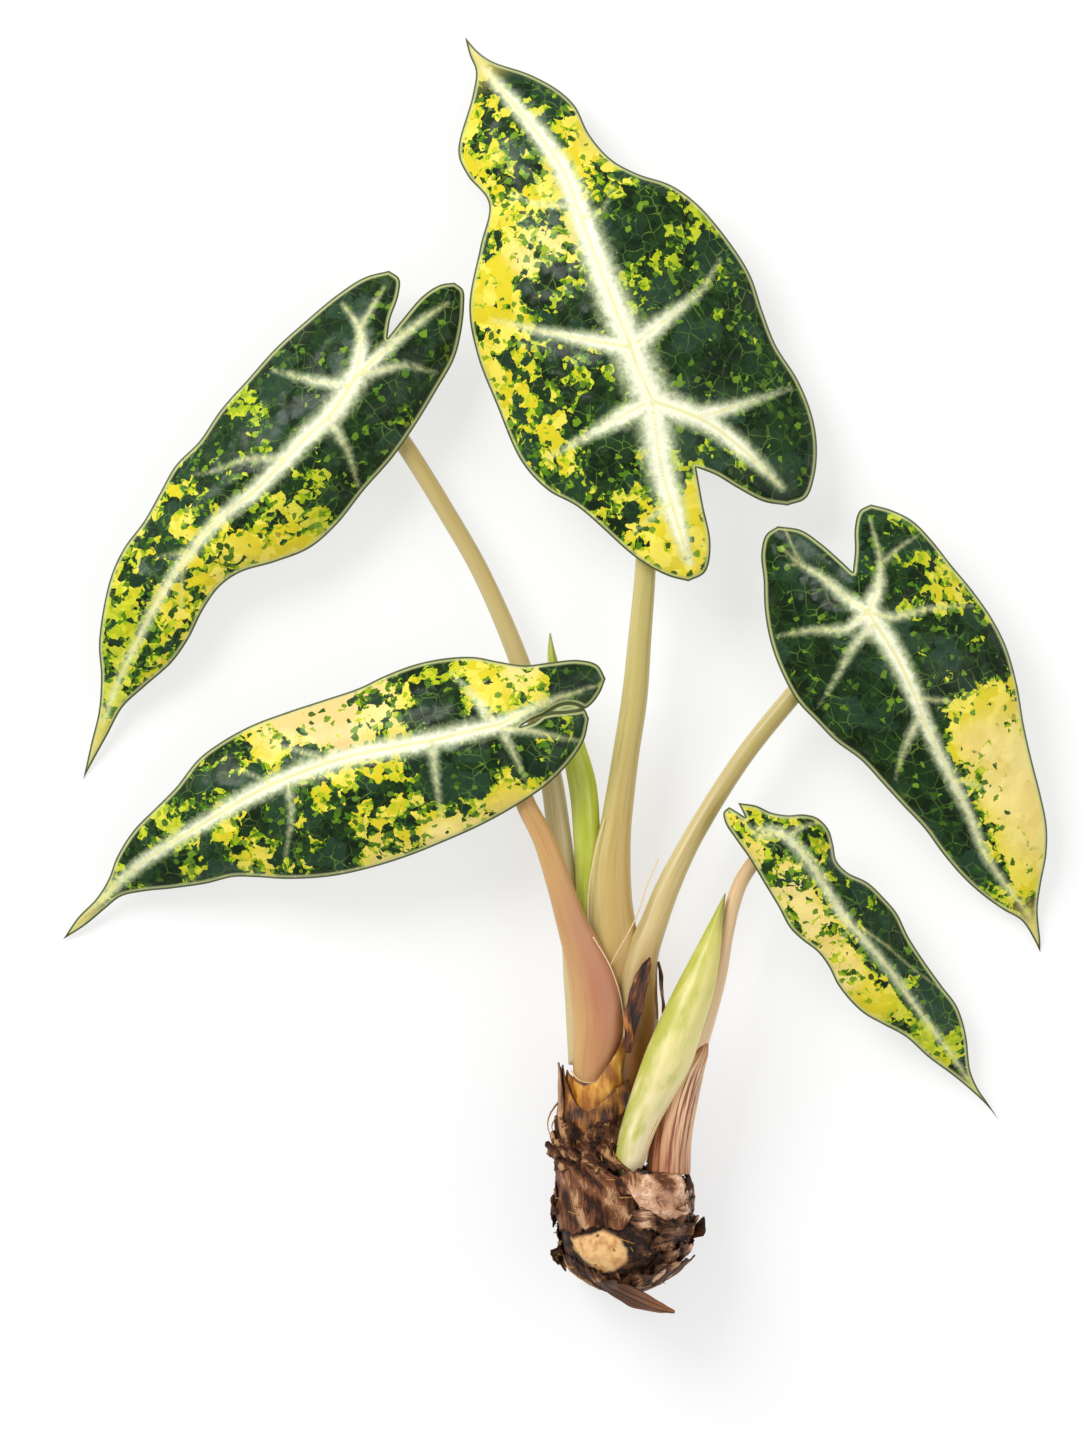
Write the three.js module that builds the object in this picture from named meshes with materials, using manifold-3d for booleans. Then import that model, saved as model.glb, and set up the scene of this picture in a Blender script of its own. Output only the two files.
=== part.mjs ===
// A bare-root alocasia: a scaly bulb with five arrow-shaped leaves, a rolled new leaf and a side shoot.
// Units are millimetres. The plant lies on its back on a table: +Z is up out of the leaf faces, +Y runs
// from the bulb to the top leaf, and the origin is on the table under the middle of the plant's bounding
// box.
import * as THREE from "three";
import { mergeVertices } from "three/addons/utils/BufferGeometryUtils.js";
import Module from "manifold-3d";

const wasm = await Module();
wasm.setup();

// Driving dimensions
const BLADE_THICKNESS = 0.9; // leaf blades, measured straight up
const SCALE_THICKNESS = 1.0; // dry papery scales
const LAYER = 1.4; // radial pitch from one scale to the next one outside it
const GAP = 0.35; // clearance between pieces that touch on the plant
const BLADE_ROWS = 24; // quads from a leaf's tip to the end of its basal lobes
const SPINE_SHARE = 0.75; // share of those rows that lie between the tip and the notch
const BLADE_COLUMNS = 4; // quads from the midrib to the margin, on each side
const STALK_SIDES = 12;
const STALK_STEPS_PER_STATION = 2;
const WRAP_COLUMNS = 12;
const WRAP_ROWS = 5;
const DEGREE = Math.PI / 180;

const COLOURS = {
  blade: 0x4f6b2f,
  petiole: 0xcdbb82,
  pinkPetiole: 0xc99a78,
  newLeaf: 0xaeb03a,
  shoot: 0xd2d88c,
  drySheath: 0xb08468,
  amber: 0xa8763a,
  brown: 0x6b4228,
  scale: 0x7a5a42,
  corm: 0xcaa070,
};

// ---------- geometry helpers ----------

const vectors = (points) => points.map(([x, y, z]) => new THREE.Vector3(x, y, z));
const smooth = (points) => new THREE.CatmullRomCurve3(vectors(points), false, "centripetal");

// Builds one closed geometry from points and quads given by index, dropping faces that collapse to a line.
function closedGeometry(points, quads) {
  const raw = new THREE.BufferGeometry();
  const index = quads.flatMap(([a, b, c, d]) => [a, b, c, a, c, d]);
  raw.setAttribute("position", new THREE.Float32BufferAttribute(points.flatMap((p) => [p.x, p.y, p.z]), 3));
  raw.setIndex(index);
  const merged = mergeVertices(raw, 1e-3);
  const kept = [];
  for (let i = 0; i < merged.index.count; i += 3) {
    const [a, b, c] = [0, 1, 2].map((k) => merged.index.getX(i + k));
    if (a !== b && b !== c && c !== a) kept.push(a, b, c);
  }
  merged.setIndex(kept);
  return merged;
}

function toSolid(geometry) {
  const vertProperties = new Float32Array(geometry.attributes.position.array);
  const triVerts = new Uint32Array(geometry.index.array);
  return new wasm.Manifold(new wasm.Mesh({ numProp: 3, vertProperties, triVerts }));
}

function toGeometry(solid) {
  const mesh = solid.getMesh();
  const geometry = new THREE.BufferGeometry();
  geometry.setAttribute("position", new THREE.BufferAttribute(new Float32Array(mesh.vertProperties), 3));
  geometry.setIndex(new THREE.BufferAttribute(new Uint32Array(mesh.triVerts), 1));
  return geometry;
}

// Cuts every cutter from a geometry and keeps the largest body that is left.
function cutBy(geometry, cutters) {
  let solid = toSolid(geometry);
  for (const cutter of cutters) solid = solid.subtract(toSolid(cutter));
  const bodies = solid.decompose();
  bodies.sort((a, b) => b.volume() - a.volume());
  return toGeometry(bodies[0]);
}

// ---------- leaf blades ----------

// Half a blade is ruled from its inner line (spine, then notch edge) to its outer margin. Each row runs
// from the inner line to the margin; rows up to the notch are spread along the spine, and the rest along
// the basal lobe.
function halfBladeRows(spine, half, puff) {
  const spineCurve = smooth(spine);
  const notchCurve = smooth([spine.at(-1), ...half.notch, half.margin.at(-1)]);
  const marginCurve = smooth([spine[0], ...half.margin]);
  const spineRows = Math.round(BLADE_ROWS * SPINE_SHARE);
  const rows = [];
  for (let i = 0; i <= BLADE_ROWS; i++) {
    const onSpine = i <= spineRows;
    const share = onSpine ? i / spineRows : (i - spineRows) / (BLADE_ROWS - spineRows);
    const inner = (onSpine ? spineCurve : notchCurve).getPointAt(share);
    const along = onSpine ? share * half.shoulder : half.shoulder + share * (1 - half.shoulder);
    const outer = marginCurve.getPointAt(along);
    const row = [];
    for (let j = 0; j <= BLADE_COLUMNS; j++) {
      const v = j / BLADE_COLUMNS;
      const point = inner.clone().lerp(outer, v);
      point.z += puff * Math.min(1, inner.distanceTo(outer) / 30) * 4 * v * (1 - v);
      row.push(point);
    }
    rows.push(row);
  }
  return rows;
}

// A blade is its two halves with a top and a bottom face and a wall round the outside and the notch.
function bladeGeometry(leaf, grow = 0) {
  const lift = BLADE_THICKNESS / 2 + grow;
  const spineRows = Math.round(BLADE_ROWS * SPINE_SHARE);
  const points = [];
  const quads = [];
  leaf.halves.forEach((half, side) => {
    const rows = halfBladeRows(leaf.spine, half, leaf.puff);
    const first = points.length;
    const width = BLADE_COLUMNS + 1;
    const layer = rows.length * width;
    for (const up of [1, -1])
      for (const row of rows) for (const p of row) points.push(new THREE.Vector3(p.x, p.y, p.z + up * lift));
    const at = (i, j, bottom) => first + (bottom ? layer : 0) + i * width + j;
    const facing = side === 0 ? (q) => q.slice().reverse() : (q) => q;
    for (let i = 0; i < BLADE_ROWS; i++) {
      for (let j = 0; j < BLADE_COLUMNS; j++) {
        quads.push(facing([at(i, j), at(i + 1, j), at(i + 1, j + 1), at(i, j + 1)]));
        quads.push(facing([at(i, j, true), at(i, j + 1, true), at(i + 1, j + 1, true), at(i + 1, j, true)]));
      }
      const rim = BLADE_COLUMNS;
      quads.push(facing([at(i, rim), at(i + 1, rim), at(i + 1, rim, true), at(i, rim, true)]));
      if (i >= spineRows) quads.push(facing([at(i, 0), at(i, 0, true), at(i + 1, 0, true), at(i + 1, 0)]));
    }
  });
  return closedGeometry(points, quads);
}

// ---------- stalks: petioles, sheaths, the rolled leaf, the bulb ----------

// A stalk is a loft of ellipses through stations [x, y, z, half width, half depth]. The half width lies
// across the stalk in the table's plane, and the half depth stands up from it.
function stalkGeometry(stations, grow = 0) {
  const centres = smooth(stations);
  const radii = smooth(stations.map(([, , , a, b]) => [a, b, 0]));
  const steps = (stations.length - 1) * STALK_STEPS_PER_STATION;
  const points = [];
  const quads = [];
  for (let i = 0; i <= steps; i++) {
    const t = i / steps;
    const along = centres.getTangent(t);
    const across = new THREE.Vector3().crossVectors(along, new THREE.Vector3(0, 0, 1)).normalize();
    const front = new THREE.Vector3().crossVectors(across, along);
    const { x: a, y: b } = radii.getPoint(t);
    const end = i === 0 ? -grow : i === steps ? grow : 0;
    const centre = centres.getPoint(t).addScaledVector(along, end);
    for (let k = 0; k < STALK_SIDES; k++) {
      const angle = (k / STALK_SIDES) * 2 * Math.PI;
      const point = centre.clone();
      point.addScaledVector(across, Math.cos(angle) * (Math.max(a, 0.2) + grow));
      point.addScaledVector(front, Math.sin(angle) * (Math.max(b, 0.2) + grow));
      points.push(point);
    }
  }
  const at = (i, k) => i * STALK_SIDES + (k % STALK_SIDES);
  for (let i = 0; i < steps; i++)
    for (let k = 0; k < STALK_SIDES; k++) {
      quads.push([at(i, k), at(i + 1, k), at(i + 1, k + 1), at(i, k + 1)]);
    }
  for (let k = 1; k < STALK_SIDES - 1; k++) {
    quads.push([at(0, 0), at(0, k), at(0, k + 1), at(0, k + 1)]);
    quads.push([at(steps, 0), at(steps, k + 1), at(steps, k), at(steps, k)]);
  }
  return closedGeometry(points, quads);
}

// ---------- wraps: dry scales round the stem or the bulb ----------

// Reads a list of [key, value, value ...] rows at any key, straight between the rows and level beyond them.
function readTable(table, key) {
  if (key <= table[0][0]) return table[0].slice(1);
  for (let i = 1; i < table.length; i++) {
    const [k0, ...low] = table[i - 1];
    const [k1, ...high] = table[i];
    if (key <= k1) return low.map((value, n) => value + ((high[n] - value) * (key - k0)) / (k1 - k0));
  }
  return table.at(-1).slice(1);
}

// A wrap covers angles from..to round a core, where 0 degrees faces up and 90 faces +X. low and high are
// tables of [angle, y] for its two edges, layer is how many scales lie under it, and flare how far its
// outer edge stands off.
function wrapGeometry({ core, from, to, low, high, layer, flare = 0 }) {
  const points = [];
  const quads = [];
  const width = WRAP_ROWS + 1;
  const sheet = (WRAP_COLUMNS + 1) * width;
  for (const skin of [SCALE_THICKNESS, 0])
    for (let i = 0; i <= WRAP_COLUMNS; i++) {
      const angle = from + ((to - from) * i) / WRAP_COLUMNS;
      const [y0] = readTable(low, angle);
      const [y1] = readTable(high, angle);
      for (let j = 0; j <= WRAP_ROWS; j++) {
        const share = j / WRAP_ROWS;
        const y = y0 + (y1 - y0) * share;
        const [x, z, a, b] = readTable(core, y);
        const off = GAP + LAYER * layer + skin + flare * share * share;
        const turn = angle * DEGREE;
        points.push(new THREE.Vector3(x + (a + off) * Math.sin(turn), y, z + (b + off) * Math.cos(turn)));
      }
    }
  const at = (i, j, inside) => (inside ? sheet : 0) + i * width + j;
  for (let i = 0; i < WRAP_COLUMNS; i++)
    for (let j = 0; j < WRAP_ROWS; j++) {
      quads.push([at(i, j), at(i + 1, j), at(i + 1, j + 1), at(i, j + 1)]);
      quads.push([at(i, j, true), at(i, j + 1, true), at(i + 1, j + 1, true), at(i + 1, j, true)]);
    }
  for (let i = 0; i < WRAP_COLUMNS; i++) {
    quads.push([at(i, 0), at(i, 0, true), at(i + 1, 0, true), at(i + 1, 0)]);
    quads.push([at(i, WRAP_ROWS), at(i + 1, WRAP_ROWS), at(i + 1, WRAP_ROWS, true), at(i, WRAP_ROWS, true)]);
  }
  for (let j = 0; j < WRAP_ROWS; j++) {
    quads.push([at(0, j), at(0, j + 1), at(0, j + 1, true), at(0, j, true)]);
    const last = WRAP_COLUMNS;
    quads.push([at(last, j), at(last, j, true), at(last, j + 1, true), at(last, j + 1)]);
  }
  return closedGeometry(points, quads);
}

// ---------- the leaves ---------- spine runs from the tip over the stalk's joint to the notch. Each
// half's margin runs from beside the tip to the end of its basal lobe, and its notch edge from the notch
// towards that same end. shoulder is the share of the margin that faces the spine.

const LEAVES = {
  top: {
    puff: 3,
    spine: [
      [-27.2, 192.2, 0.5], [-17.7, 178.8, 8], [-4.4, 159.8, 19], [8.5, 133.1, 30], [18.5, 104.1, 36],
      [26.3, 80.6, 37], [35, 69.5, 35.5], [42.3, 61.1, 33],
    ],
    halves: [
      {
        shoulder: 0.83,
        margin: [
          [-25.8, 186.6, 2], [-23.9, 181.6, 4], [-25, 173.8, 6], [-29.2, 157, 9], [-26.5, 149.8, 12],
          [-19.9, 140.9, 17], [-22.5, 128, 18], [-25.8, 109.6, 19], [-23.3, 95.1, 20], [-17.7, 80.6, 22],
          [-10, 63, 25], [-2.1, 54.4, 27], [6.8, 49.4, 29], [24.7, 33.8, 31], [33.6, 28.8, 30],
          [40, 27.1, 29],
        ],
        notch: [[44.2, 50.5, 32.5], [46.6, 38.2, 31], [45, 29.9, 29.5]],
      },
      {
        shoulder: 0.86,
        margin: [
          [-23.3, 187.7, 2], [-18.9, 184.6, 3.5], [-7.7, 180.5, 7], [1.2, 175.4, 10], [6.2, 170.4, 12],
          [10.2, 162.1, 15], [16.8, 154.3, 18], [24.7, 149.8, 20], [34.7, 146.4, 20], [42.5, 140.9, 20],
          [51.4, 130.8, 18], [58.7, 119.7, 16], [62.6, 108.5, 15], [66.5, 98.5, 15], [73.2, 87.9, 14],
          [77.1, 78.4, 14], [78.8, 69.5, 15], [78.2, 59.4, 17], [75.4, 52.2, 19], [69.8, 50, 20],
        ],
        notch: [[48.1, 58.9, 31], [54.8, 55, 28], [62.6, 51.1, 24]],
      },
    ],
  },
  upper_left: {
    puff: 3,
    spine: [
      [-142.7, -32.3, 0.5], [-135.1, -11.5, 7], [-129.4, 2, 12], [-122.6, 16.5, 17], [-113.3, 31, 21],
      [-92.5, 51.8, 26], [-71.7, 70.5, 29], [-59.5, 87.1, 30], [-54, 94.5, 29], [-50.2, 100.1, 27],
    ],
    halves: [
      {
        shoulder: 0.86,
        margin: [
          [-139.8, -27.1, 2], [-135.1, -18.8, 4], [-130.4, -10.5, 7], [-123.7, -4.3, 9], [-115.4, 3, 11],
          [-110.2, 10.3, 13], [-106, 18.6, 15], [-100.8, 25.8, 16], [-94.6, 30, 17], [-84.2, 33.1, 17],
          [-73.8, 37.3, 17], [-65.5, 44.5, 17.5], [-57.2, 54.9, 18.5], [-48.9, 64.3, 19.5],
          [-41.6, 74.7, 19.5],
          [-35.4, 85, 19], [-30.2, 94.4, 18], [-28.1, 102.7, 17.5], [-27.3, 110, 17], [-27.6, 115, 16.5],
          [-30.2, 117.2, 16.5],
        ],
        notch: [[-45.8, 105.8, 25], [-39.6, 113.1, 21], [-34.4, 116.5, 18]],
      },
      {
        shoulder: 0.88,
        margin: [
          [-140.3, -21.9, 3], [-137.7, -11.5, 6], [-137, -1.2, 8], [-137.5, 9.2, 10], [-134.1, 27.9, 12],
          [-129.9, 37.3, 13], [-123.7, 45.6, 14], [-119, 53.9, 14], [-114.3, 62.2, 14], [-107.1, 69.5, 15],
          [-100.8, 78.8, 14], [-92.5, 88.2, 14], [-84.2, 97.5, 14], [-74.9, 105.8, 15], [-65.5, 113.6, 16],
          [-57.2, 118.8, 17], [-49.9, 120.7, 18],
        ],
        notch: [[-49.4, 105.8, 25], [-47, 113.1, 21.5], [-46.8, 118.3, 19]],
      },
    ],
  },
  lower_left: {
    puff: 3,
    spine: [
      [-148.8, -80.8, 0.5], [-137.3, -70, 6], [-122.3, -56.2, 14], [-111.9, -48.1, 19], [-100.4, -40.6, 24],
      [-87.7, -34.8, 28], [-73.8, -29.7, 32], [-60, -26.2, 35], [-45, -23.3, 38], [-32.3, -20.2, 40],
      [-16, -17, 41], [-10.4, -16.4, 40.5],
    ],
    halves: [
      {
        shoulder: 0.88,
        margin: [
          [-141.9, -76.4, 3], [-135.6, -71.2, 5], [-131, -67.7, 6.5], [-124.6, -66.2, 8], [-115.4, -65.2, 10],
          [-105, -63.7, 13], [-96.9, -61.7, 15], [-90, -61.7, 17], [-80.8, -62.2, 19], [-69.2, -61.6, 21],
          [-58.8, -59.7, 24], [-45, -55.6, 27], [-33.5, -51, 30], [-21.9, -45.8, 33], [-11.5, -40, 36],
          [-2.3, -33.7, 36], [4.6, -26.8, 35.5], [8.7, -20.4, 35], [10.2, -14, 35],
        ],
        notch: [[-6, -14.8, 40.8], [-3.5, -12.9, 40.6], [1.2, -10, 39.5], [5.2, -9.5, 38], [8.7, -11, 36.3]],
      },
      {
        shoulder: 0.86,
        margin: [
          [-144.2, -74.1, 3], [-138.5, -68.3, 5], [-134.8, -62.5, 7], [-132.1, -55.6, 9], [-126.9, -47.5, 11],
          [-120, -40.6, 13], [-114.2, -34.8, 15], [-107.3, -26.2, 17], [-100.4, -21, 18], [-91.2, -16, 20],
          [-80.8, -12.1, 22], [-69.2, -8.3, 24], [-58.8, -4.8, 25], [-50.8, -1, 26], [-41.5, 2.4, 27],
          [-32.3, 4.2, 28], [-24.2, 4.5, 29], [-17.3, 3.2, 31], [-9.2, 2, 32], [-1.2, 2.9, 31],
          [6.9, 3.6, 30], [12.7, 2.1, 29], [15.2, -2, 28],
        ],
        notch: [[-6, -13.8, 38.8], [-1, -12.4, 36.2], [4, -12, 33.2], [9.8, -10.6, 30], [13.3, -6.6, 28.5]],
      },
    ],
  },
  right: {
    puff: 3,
    spine: [
      [146.8, -84.7, 0.5], [143.5, -74.1, 5], [136.3, -64.5, 10], [129.5, -53.9, 15], [123.8, -39.5, 20],
      [117, -26.1, 25], [109.8, -12.6, 29], [103.6, 1.8, 32], [94.1, 17.2, 34], [91.5, 23.5, 33],
      [89.1, 29.9, 31.5],
    ],
    halves: [
      {
        shoulder: 0.84,
        margin: [
          [146.8, -80.9, 1.5], [146.2, -76.1, 3], [145.9, -71.3, 4], [146.8, -63.6, 6], [148.3, -54.9, 8],
          [148.3, -46.3, 10], [146.3, -36.6, 12], [143.5, -26, 14], [141.1, -15.5, 15], [139.1, -3.9, 16],
          [135.8, 7.6, 17], [131.4, 16.3, 17.5], [125.7, 24.4, 18], [118.9, 32.6, 18.5], [113.2, 39.8, 18.5],
          [107.4, 45.6, 18.5], [100.7, 48.9, 19], [94.9, 50.4, 20],
        ],
        notch: [[89.8, 36.4, 29], [89.9, 43.2, 25.5], [91.5, 48.5, 22]],
      },
      {
        shoulder: 0.84,
        margin: [
          [144.9, -80.9, 2], [141.1, -75.1, 4], [135.3, -71.7, 6], [128.6, -66.9, 8], [122.8, -61.6, 10],
          [117, -54.9, 12], [111.3, -47.2, 14], [104.5, -40, 16], [98.8, -33.8, 17], [92, -26.5, 18],
          [84.3, -20.8, 19], [78.6, -15, 20], [72.8, -8.8, 21.5], [68, -0.1, 21.5], [64.6, 9.5, 20],
          [63, 19.1, 19], [62.7, 27.8, 18], [62, 35.5, 17.5], [63.4, 41.3, 17.5], [67, 43.9, 18],
        ],
        notch: [[85.3, 33.6, 29.5], [79.5, 38.8, 25.5], [73.8, 42.7, 21.5]],
      },
    ],
  },
  small: {
    puff: 2,
    spine: [
      [134.3, -135.3, 0.5], [126.5, -125.2, 5], [121.7, -119.6, 8], [114.7, -111.3, 12], [108.5, -101.6, 16],
      [102.3, -92.6, 20], [94.7, -83.6, 24], [87.8, -74.6, 27], [80.8, -66.3, 30], [74.6, -58, 32.5],
      [66.3, -49.7, 34.5], [61, -46, 34.5], [56.8, -43.4, 34],
    ],
    halves: [
      {
        shoulder: 0.9,
        margin: [
          [130.7, -130, 3], [127.5, -125.2, 4], [125.5, -120.3, 5], [124.8, -115.5, 6], [124.3, -110.6, 7],
          [123, -105.1, 8], [121, -100.2, 9], [116.8, -94.7, 10.5], [111.3, -87.1, 12], [106.4, -79.5, 13.5],
          [103, -72.6, 14.5], [98.8, -67.7, 16], [94, -63.2, 18], [87.8, -60.1, 20], [84.6, -56.6, 21],
          [83.6, -51.8, 21.5], [82.2, -47.3, 22], [78.8, -43.8, 23], [74.6, -42.7, 24.5], [69.8, -42.9, 26.5],
          [64.9, -42.1, 28], [60.1, -40, 29.5], [54.8, -39.2, 30.5],
        ],
        notch: [[56, -41.6, 32.4]],
      },
      {
        shoulder: 0.95,
        margin: [
          [130, -130.3, 3], [124.4, -125.2, 4], [119.6, -121.3, 6], [112.7, -116.2, 8], [105.7, -109.9, 11],
          [98.8, -106.1, 13], [93.3, -103, 15], [89.1, -99.2, 17], [85, -94, 19], [82.2, -88.5, 21],
          [78.8, -84, 23], [73.9, -80.2, 24], [70.4, -76.7, 25], [67, -70.5, 27], [62.8, -63.6, 30],
          [58, -55.6, 32], [53.8, -49.7, 33], [51.1, -45.6, 33], [50.4, -42.1, 32.5], [52.1, -40.4, 32.5],
        ],
        notch: [[54.7, -42, 33.6]],
      },
    ],
  },
};

// ---------- stalks ----------
// Stations run from the bulb outwards: [x, y, z, half width, half depth].

const PETIOLES = {
  lower_left: [
    [11, -124, 23.5, 5.5, 4], [11.7, -116, 23.5, 6.5, 5.5], [13, -105, 23.5, 7.8, 6.5],
    [11.7, -95, 24.5, 7.5, 6],
    [8.7, -85, 25.5, 6.1, 5], [4.9, -75, 26.5, 4.6, 4], [1.7, -65, 27.5, 3.9, 3.6],
    [-3.5, -50, 29.5, 3.3, 3.2],
    [-8.6, -40, 31, 3, 3], [-12.5, -30, 33, 2.9, 2.9], [-15.5, -20, 37, 2.8, 2.8],
  ],
  right: [
    [19.5, -130, 18.5, 6, 6], [22, -118, 19, 7, 6.5], [24.3, -105, 20, 6.7, 6], [24.8, -95, 20.5, 5.9, 5.5],
    [26.2, -85, 20.5, 4.9, 4.6], [29.8, -75, 20.5, 4.1, 3.9], [33.7, -65, 20.5, 3.7, 3.5],
    [41.2, -50, 19.5, 3, 3],
    [56.6, -25.5, 17.5, 2.8, 2.8], [71.5, -7, 16.5, 2.8, 2.8], [83.5, 6.5, 20, 2.8, 2.8],
    [93, 16, 30, 2.8, 2.8],
  ],
  top: [
    [13, -128, 15, 5.5, 5], [16, -105, 16, 7.5, 6], [17.4, -85, 18, 7.6, 6], [16.6, -68, 19.5, 6.5, 5.4],
    [16.8, -57, 20, 5.9, 5], [18.4, -45, 20.5, 4.6, 4.3], [21.2, -25, 21, 4, 4], [23.8, -8, 21.5, 3.9, 3.9],
    [25.4, 10, 22, 3.5, 3.5], [27.2, 33, 23.5, 3.1, 3.1], [27.5, 60, 28, 3, 3], [26.6, 79, 34.2, 3, 3],
  ],
  upper_left: [
    [8.5, -118, 11, 4.5, 4.5], [7.5, -95, 12, 4.8, 4.6], [5.5, -75, 14, 4, 4], [2.8, -60, 15.5, 3.7, 3.6],
    [1.1, -48, 16, 3.6, 3.5], [-1, -33, 16, 3.4, 3.3], [-5.3, -15, 15, 3.1, 3.1], [-10.7, 3, 14, 3, 3],
    [-22.3, 30, 13, 2.7, 2.7], [-33.2, 49, 13, 2.7, 2.7], [-44.7, 67.5, 13.5, 2.7, 2.7],
    [-53, 79, 19, 2.7, 2.7],
    [-59.2, 86.5, 27, 2.7, 2.7],
  ],
  small: [
    [32, -148, 23.5, 4.8, 5], [35.3, -132, 24.5, 5, 5], [40.3, -116, 25, 4.4, 4.5],
    [45.8, -101, 25.5, 3.2, 3.5],
    [48.9, -90, 25.5, 2.8, 2.9], [50.9, -80, 25.3, 2.4, 2.5], [53.2, -70, 25, 2.3, 2.3],
    [56, -62.5, 25, 2.2, 2.2],
    [60, -56.6, 26.2, 2.2, 2.2], [65.4, -51, 31, 2.2, 2.2],
  ],
};

const ROLLED_LEAF = [
  [9.5, -86, 17, 2.5, 2.5], [9.2, -68, 18, 2.9, 2.9], [9.4, -50, 19, 4, 3.4], [8.3, -35, 20, 4.2, 3.4],
  [5, -21, 21, 3.6, 3], [0.9, -5, 21.5, 2.5, 2.3], [-1, 5, 21.5, 1.3, 1.3], [-1.5, 11.7, 21.5, 0.2, 0.2],
];

const SHOOT_CATAPHYLL = [
  [21.7, -152.5, 27.5, 2.6, 3.5], [22.6, -145, 29, 4.7, 5.5], [25.5, -135, 30.5, 5.2, 5.8],
  [29.7, -125, 31.5, 6.2, 6],
  [34.2, -115, 32, 7, 6], [38, -105, 32, 6.4, 5.5], [42, -95, 31.5, 5.6, 4.8], [45.4, -85, 30.5, 4, 3.6],
  [48.4, -75, 29, 1.9, 2], [51, -66.4, 28, 0.2, 0.2],
];

const SHOOT_DRY_SHEATH = [
  [34, -150, 24.5, 6.4, 7.4], [34.7, -140, 25, 6.1, 6.9], [36.6, -130, 25.5, 5.8, 6.4],
  [40, -120, 25.8, 4.6, 5.7],
  [44.6, -111, 26, 1.5, 4],
];

// The woody stub of an old leaf base, across the foot of the bulb.
const FOOT_STUB = [
  [6, -181.5, 33, 1.4, 1.6], [13, -185, 34, 2.4, 2], [22, -187.3, 32.5, 2.7, 1.9],
  [30, -189.8, 29.5, 1.9, 1.4],
  [35.8, -191.8, 27, 0.5, 0.5],
];

// ---------- cores that the scales wrap ----------
// Rows of [y, x, z, half width, half depth], from the foot up.

const BULB_CORE = [
  [-187, 20.5, 20.2, 2, 2], [-184, 20.5, 20.2, 9, 9], [-180, 20.5, 20.2, 14, 14.5],
  [-175, 20.8, 20.2, 17.5, 17.5],
  [-168, 20.8, 20.2, 18.8, 18.8], [-160, 20.5, 20.2, 19, 18.8], [-154, 21, 20.2, 18.2, 17.5],
  [-149.5, 21, 20.2, 15, 14],
];

const STEM_CORE = [
  [-148.5, 11.5, 20, 8.6, 9], [-140, 11.8, 20, 8.7, 9.2], [-130, 12.3, 20, 8.8, 9.5],
  [-120, 12.5, 20, 8.3, 9.8],
  [-110, 13.5, 20, 9, 10.3], [-95, 14.5, 20, 11, 10.5],
];

const coreStations = (core) => core.map(([y, x, z, a, b]) => [x, y, z, a, b]);

const WRAPS = {
  stem_amber_sheath: {
    core: STEM_CORE, from: -100, to: 88, layer: 0,
    low: [[-100, -139], [88, -139]],
    high: [[-100, -119], [-60, -120], [-10, -123.5], [20, -120.5], [45, -114], [70, -108], [88, -104]],
    colour: COLOURS.amber,
  },
  stem_brown_sheath: {
    core: STEM_CORE, from: -115, to: 75, layer: 1, flare: 0.6,
    low: [[-115, -141], [75, -141]],
    high: [[-115, -120], [-80, -117.5], [-60, -121], [-14, -132.5], [25, -128.5], [75, -122.5]],
    colour: COLOURS.brown,
  },
  stem_folded_scale: {
    core: STEM_CORE, from: -118, to: 62, layer: 2,
    low: [[-118, -148], [62, -148]],
    high: [[-118, -137], [-30, -134], [20, -135.5], [62, -134]],
    colour: COLOURS.brown,
  },
  stem_back_scale: {
    core: STEM_CORE, from: 122, to: 238, layer: 0,
    low: [[122, -147], [238, -147]],
    high: [[122, -118], [180, -112], [238, -120]],
    colour: COLOURS.brown,
  },
  bulb_scale_left: {
    core: BULB_CORE, from: -98, to: 6, layer: 0,
    low: [[-98, -167], [-60, -166.5], [6, -168]],
    high: [[-98, -151], [6, -150.5]],
    colour: COLOURS.scale,
  },
  bulb_scale_left_edge: {
    core: BULB_CORE, from: -118, to: -72, layer: 1, flare: 0.5,
    low: [[-118, -168], [-72, -165]],
    high: [[-118, -153], [-72, -152]],
    colour: COLOURS.brown,
  },
  bulb_scale_right: {
    core: BULB_CORE, from: 2, to: 96, layer: 1, flare: 1,
    low: [[2, -158], [30, -163], [96, -163]],
    high: [[2, -153], [12, -151.5], [96, -150]],
    colour: COLOURS.drySheath,
  },
  bulb_scale_band: {
    core: BULB_CORE, from: 10, to: 104, layer: 0,
    low: [[10, -169], [104, -170.5]],
    high: [[10, -158], [104, -158]],
    colour: COLOURS.scale,
  },
  bulb_scale_lower_right: {
    core: BULB_CORE, from: 14, to: 128, layer: 0,
    low: [[14, -184], [128, -184]],
    high: [[14, -177], [60, -172.5], [128, -172]],
    colour: COLOURS.scale,
  },
  bulb_scale_lower_left: {
    core: BULB_CORE, from: -132, to: -62, layer: 0,
    low: [[-132, -182], [-62, -182]],
    high: [[-132, -169], [-62, -169]],
    colour: COLOURS.brown,
  },
  bulb_scale_back_upper: {
    core: BULB_CORE, from: 110, to: 256, layer: 0,
    low: [[110, -165.5], [256, -166]],
    high: [[110, -151], [256, -151]],
    colour: COLOURS.scale,
  },
  bulb_scale_back_lower: {
    core: BULB_CORE, from: 133, to: 222, layer: 0,
    low: [[133, -183], [222, -183]],
    high: [[133, -168], [222, -168]],
    colour: COLOURS.scale,
  },
};

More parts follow.
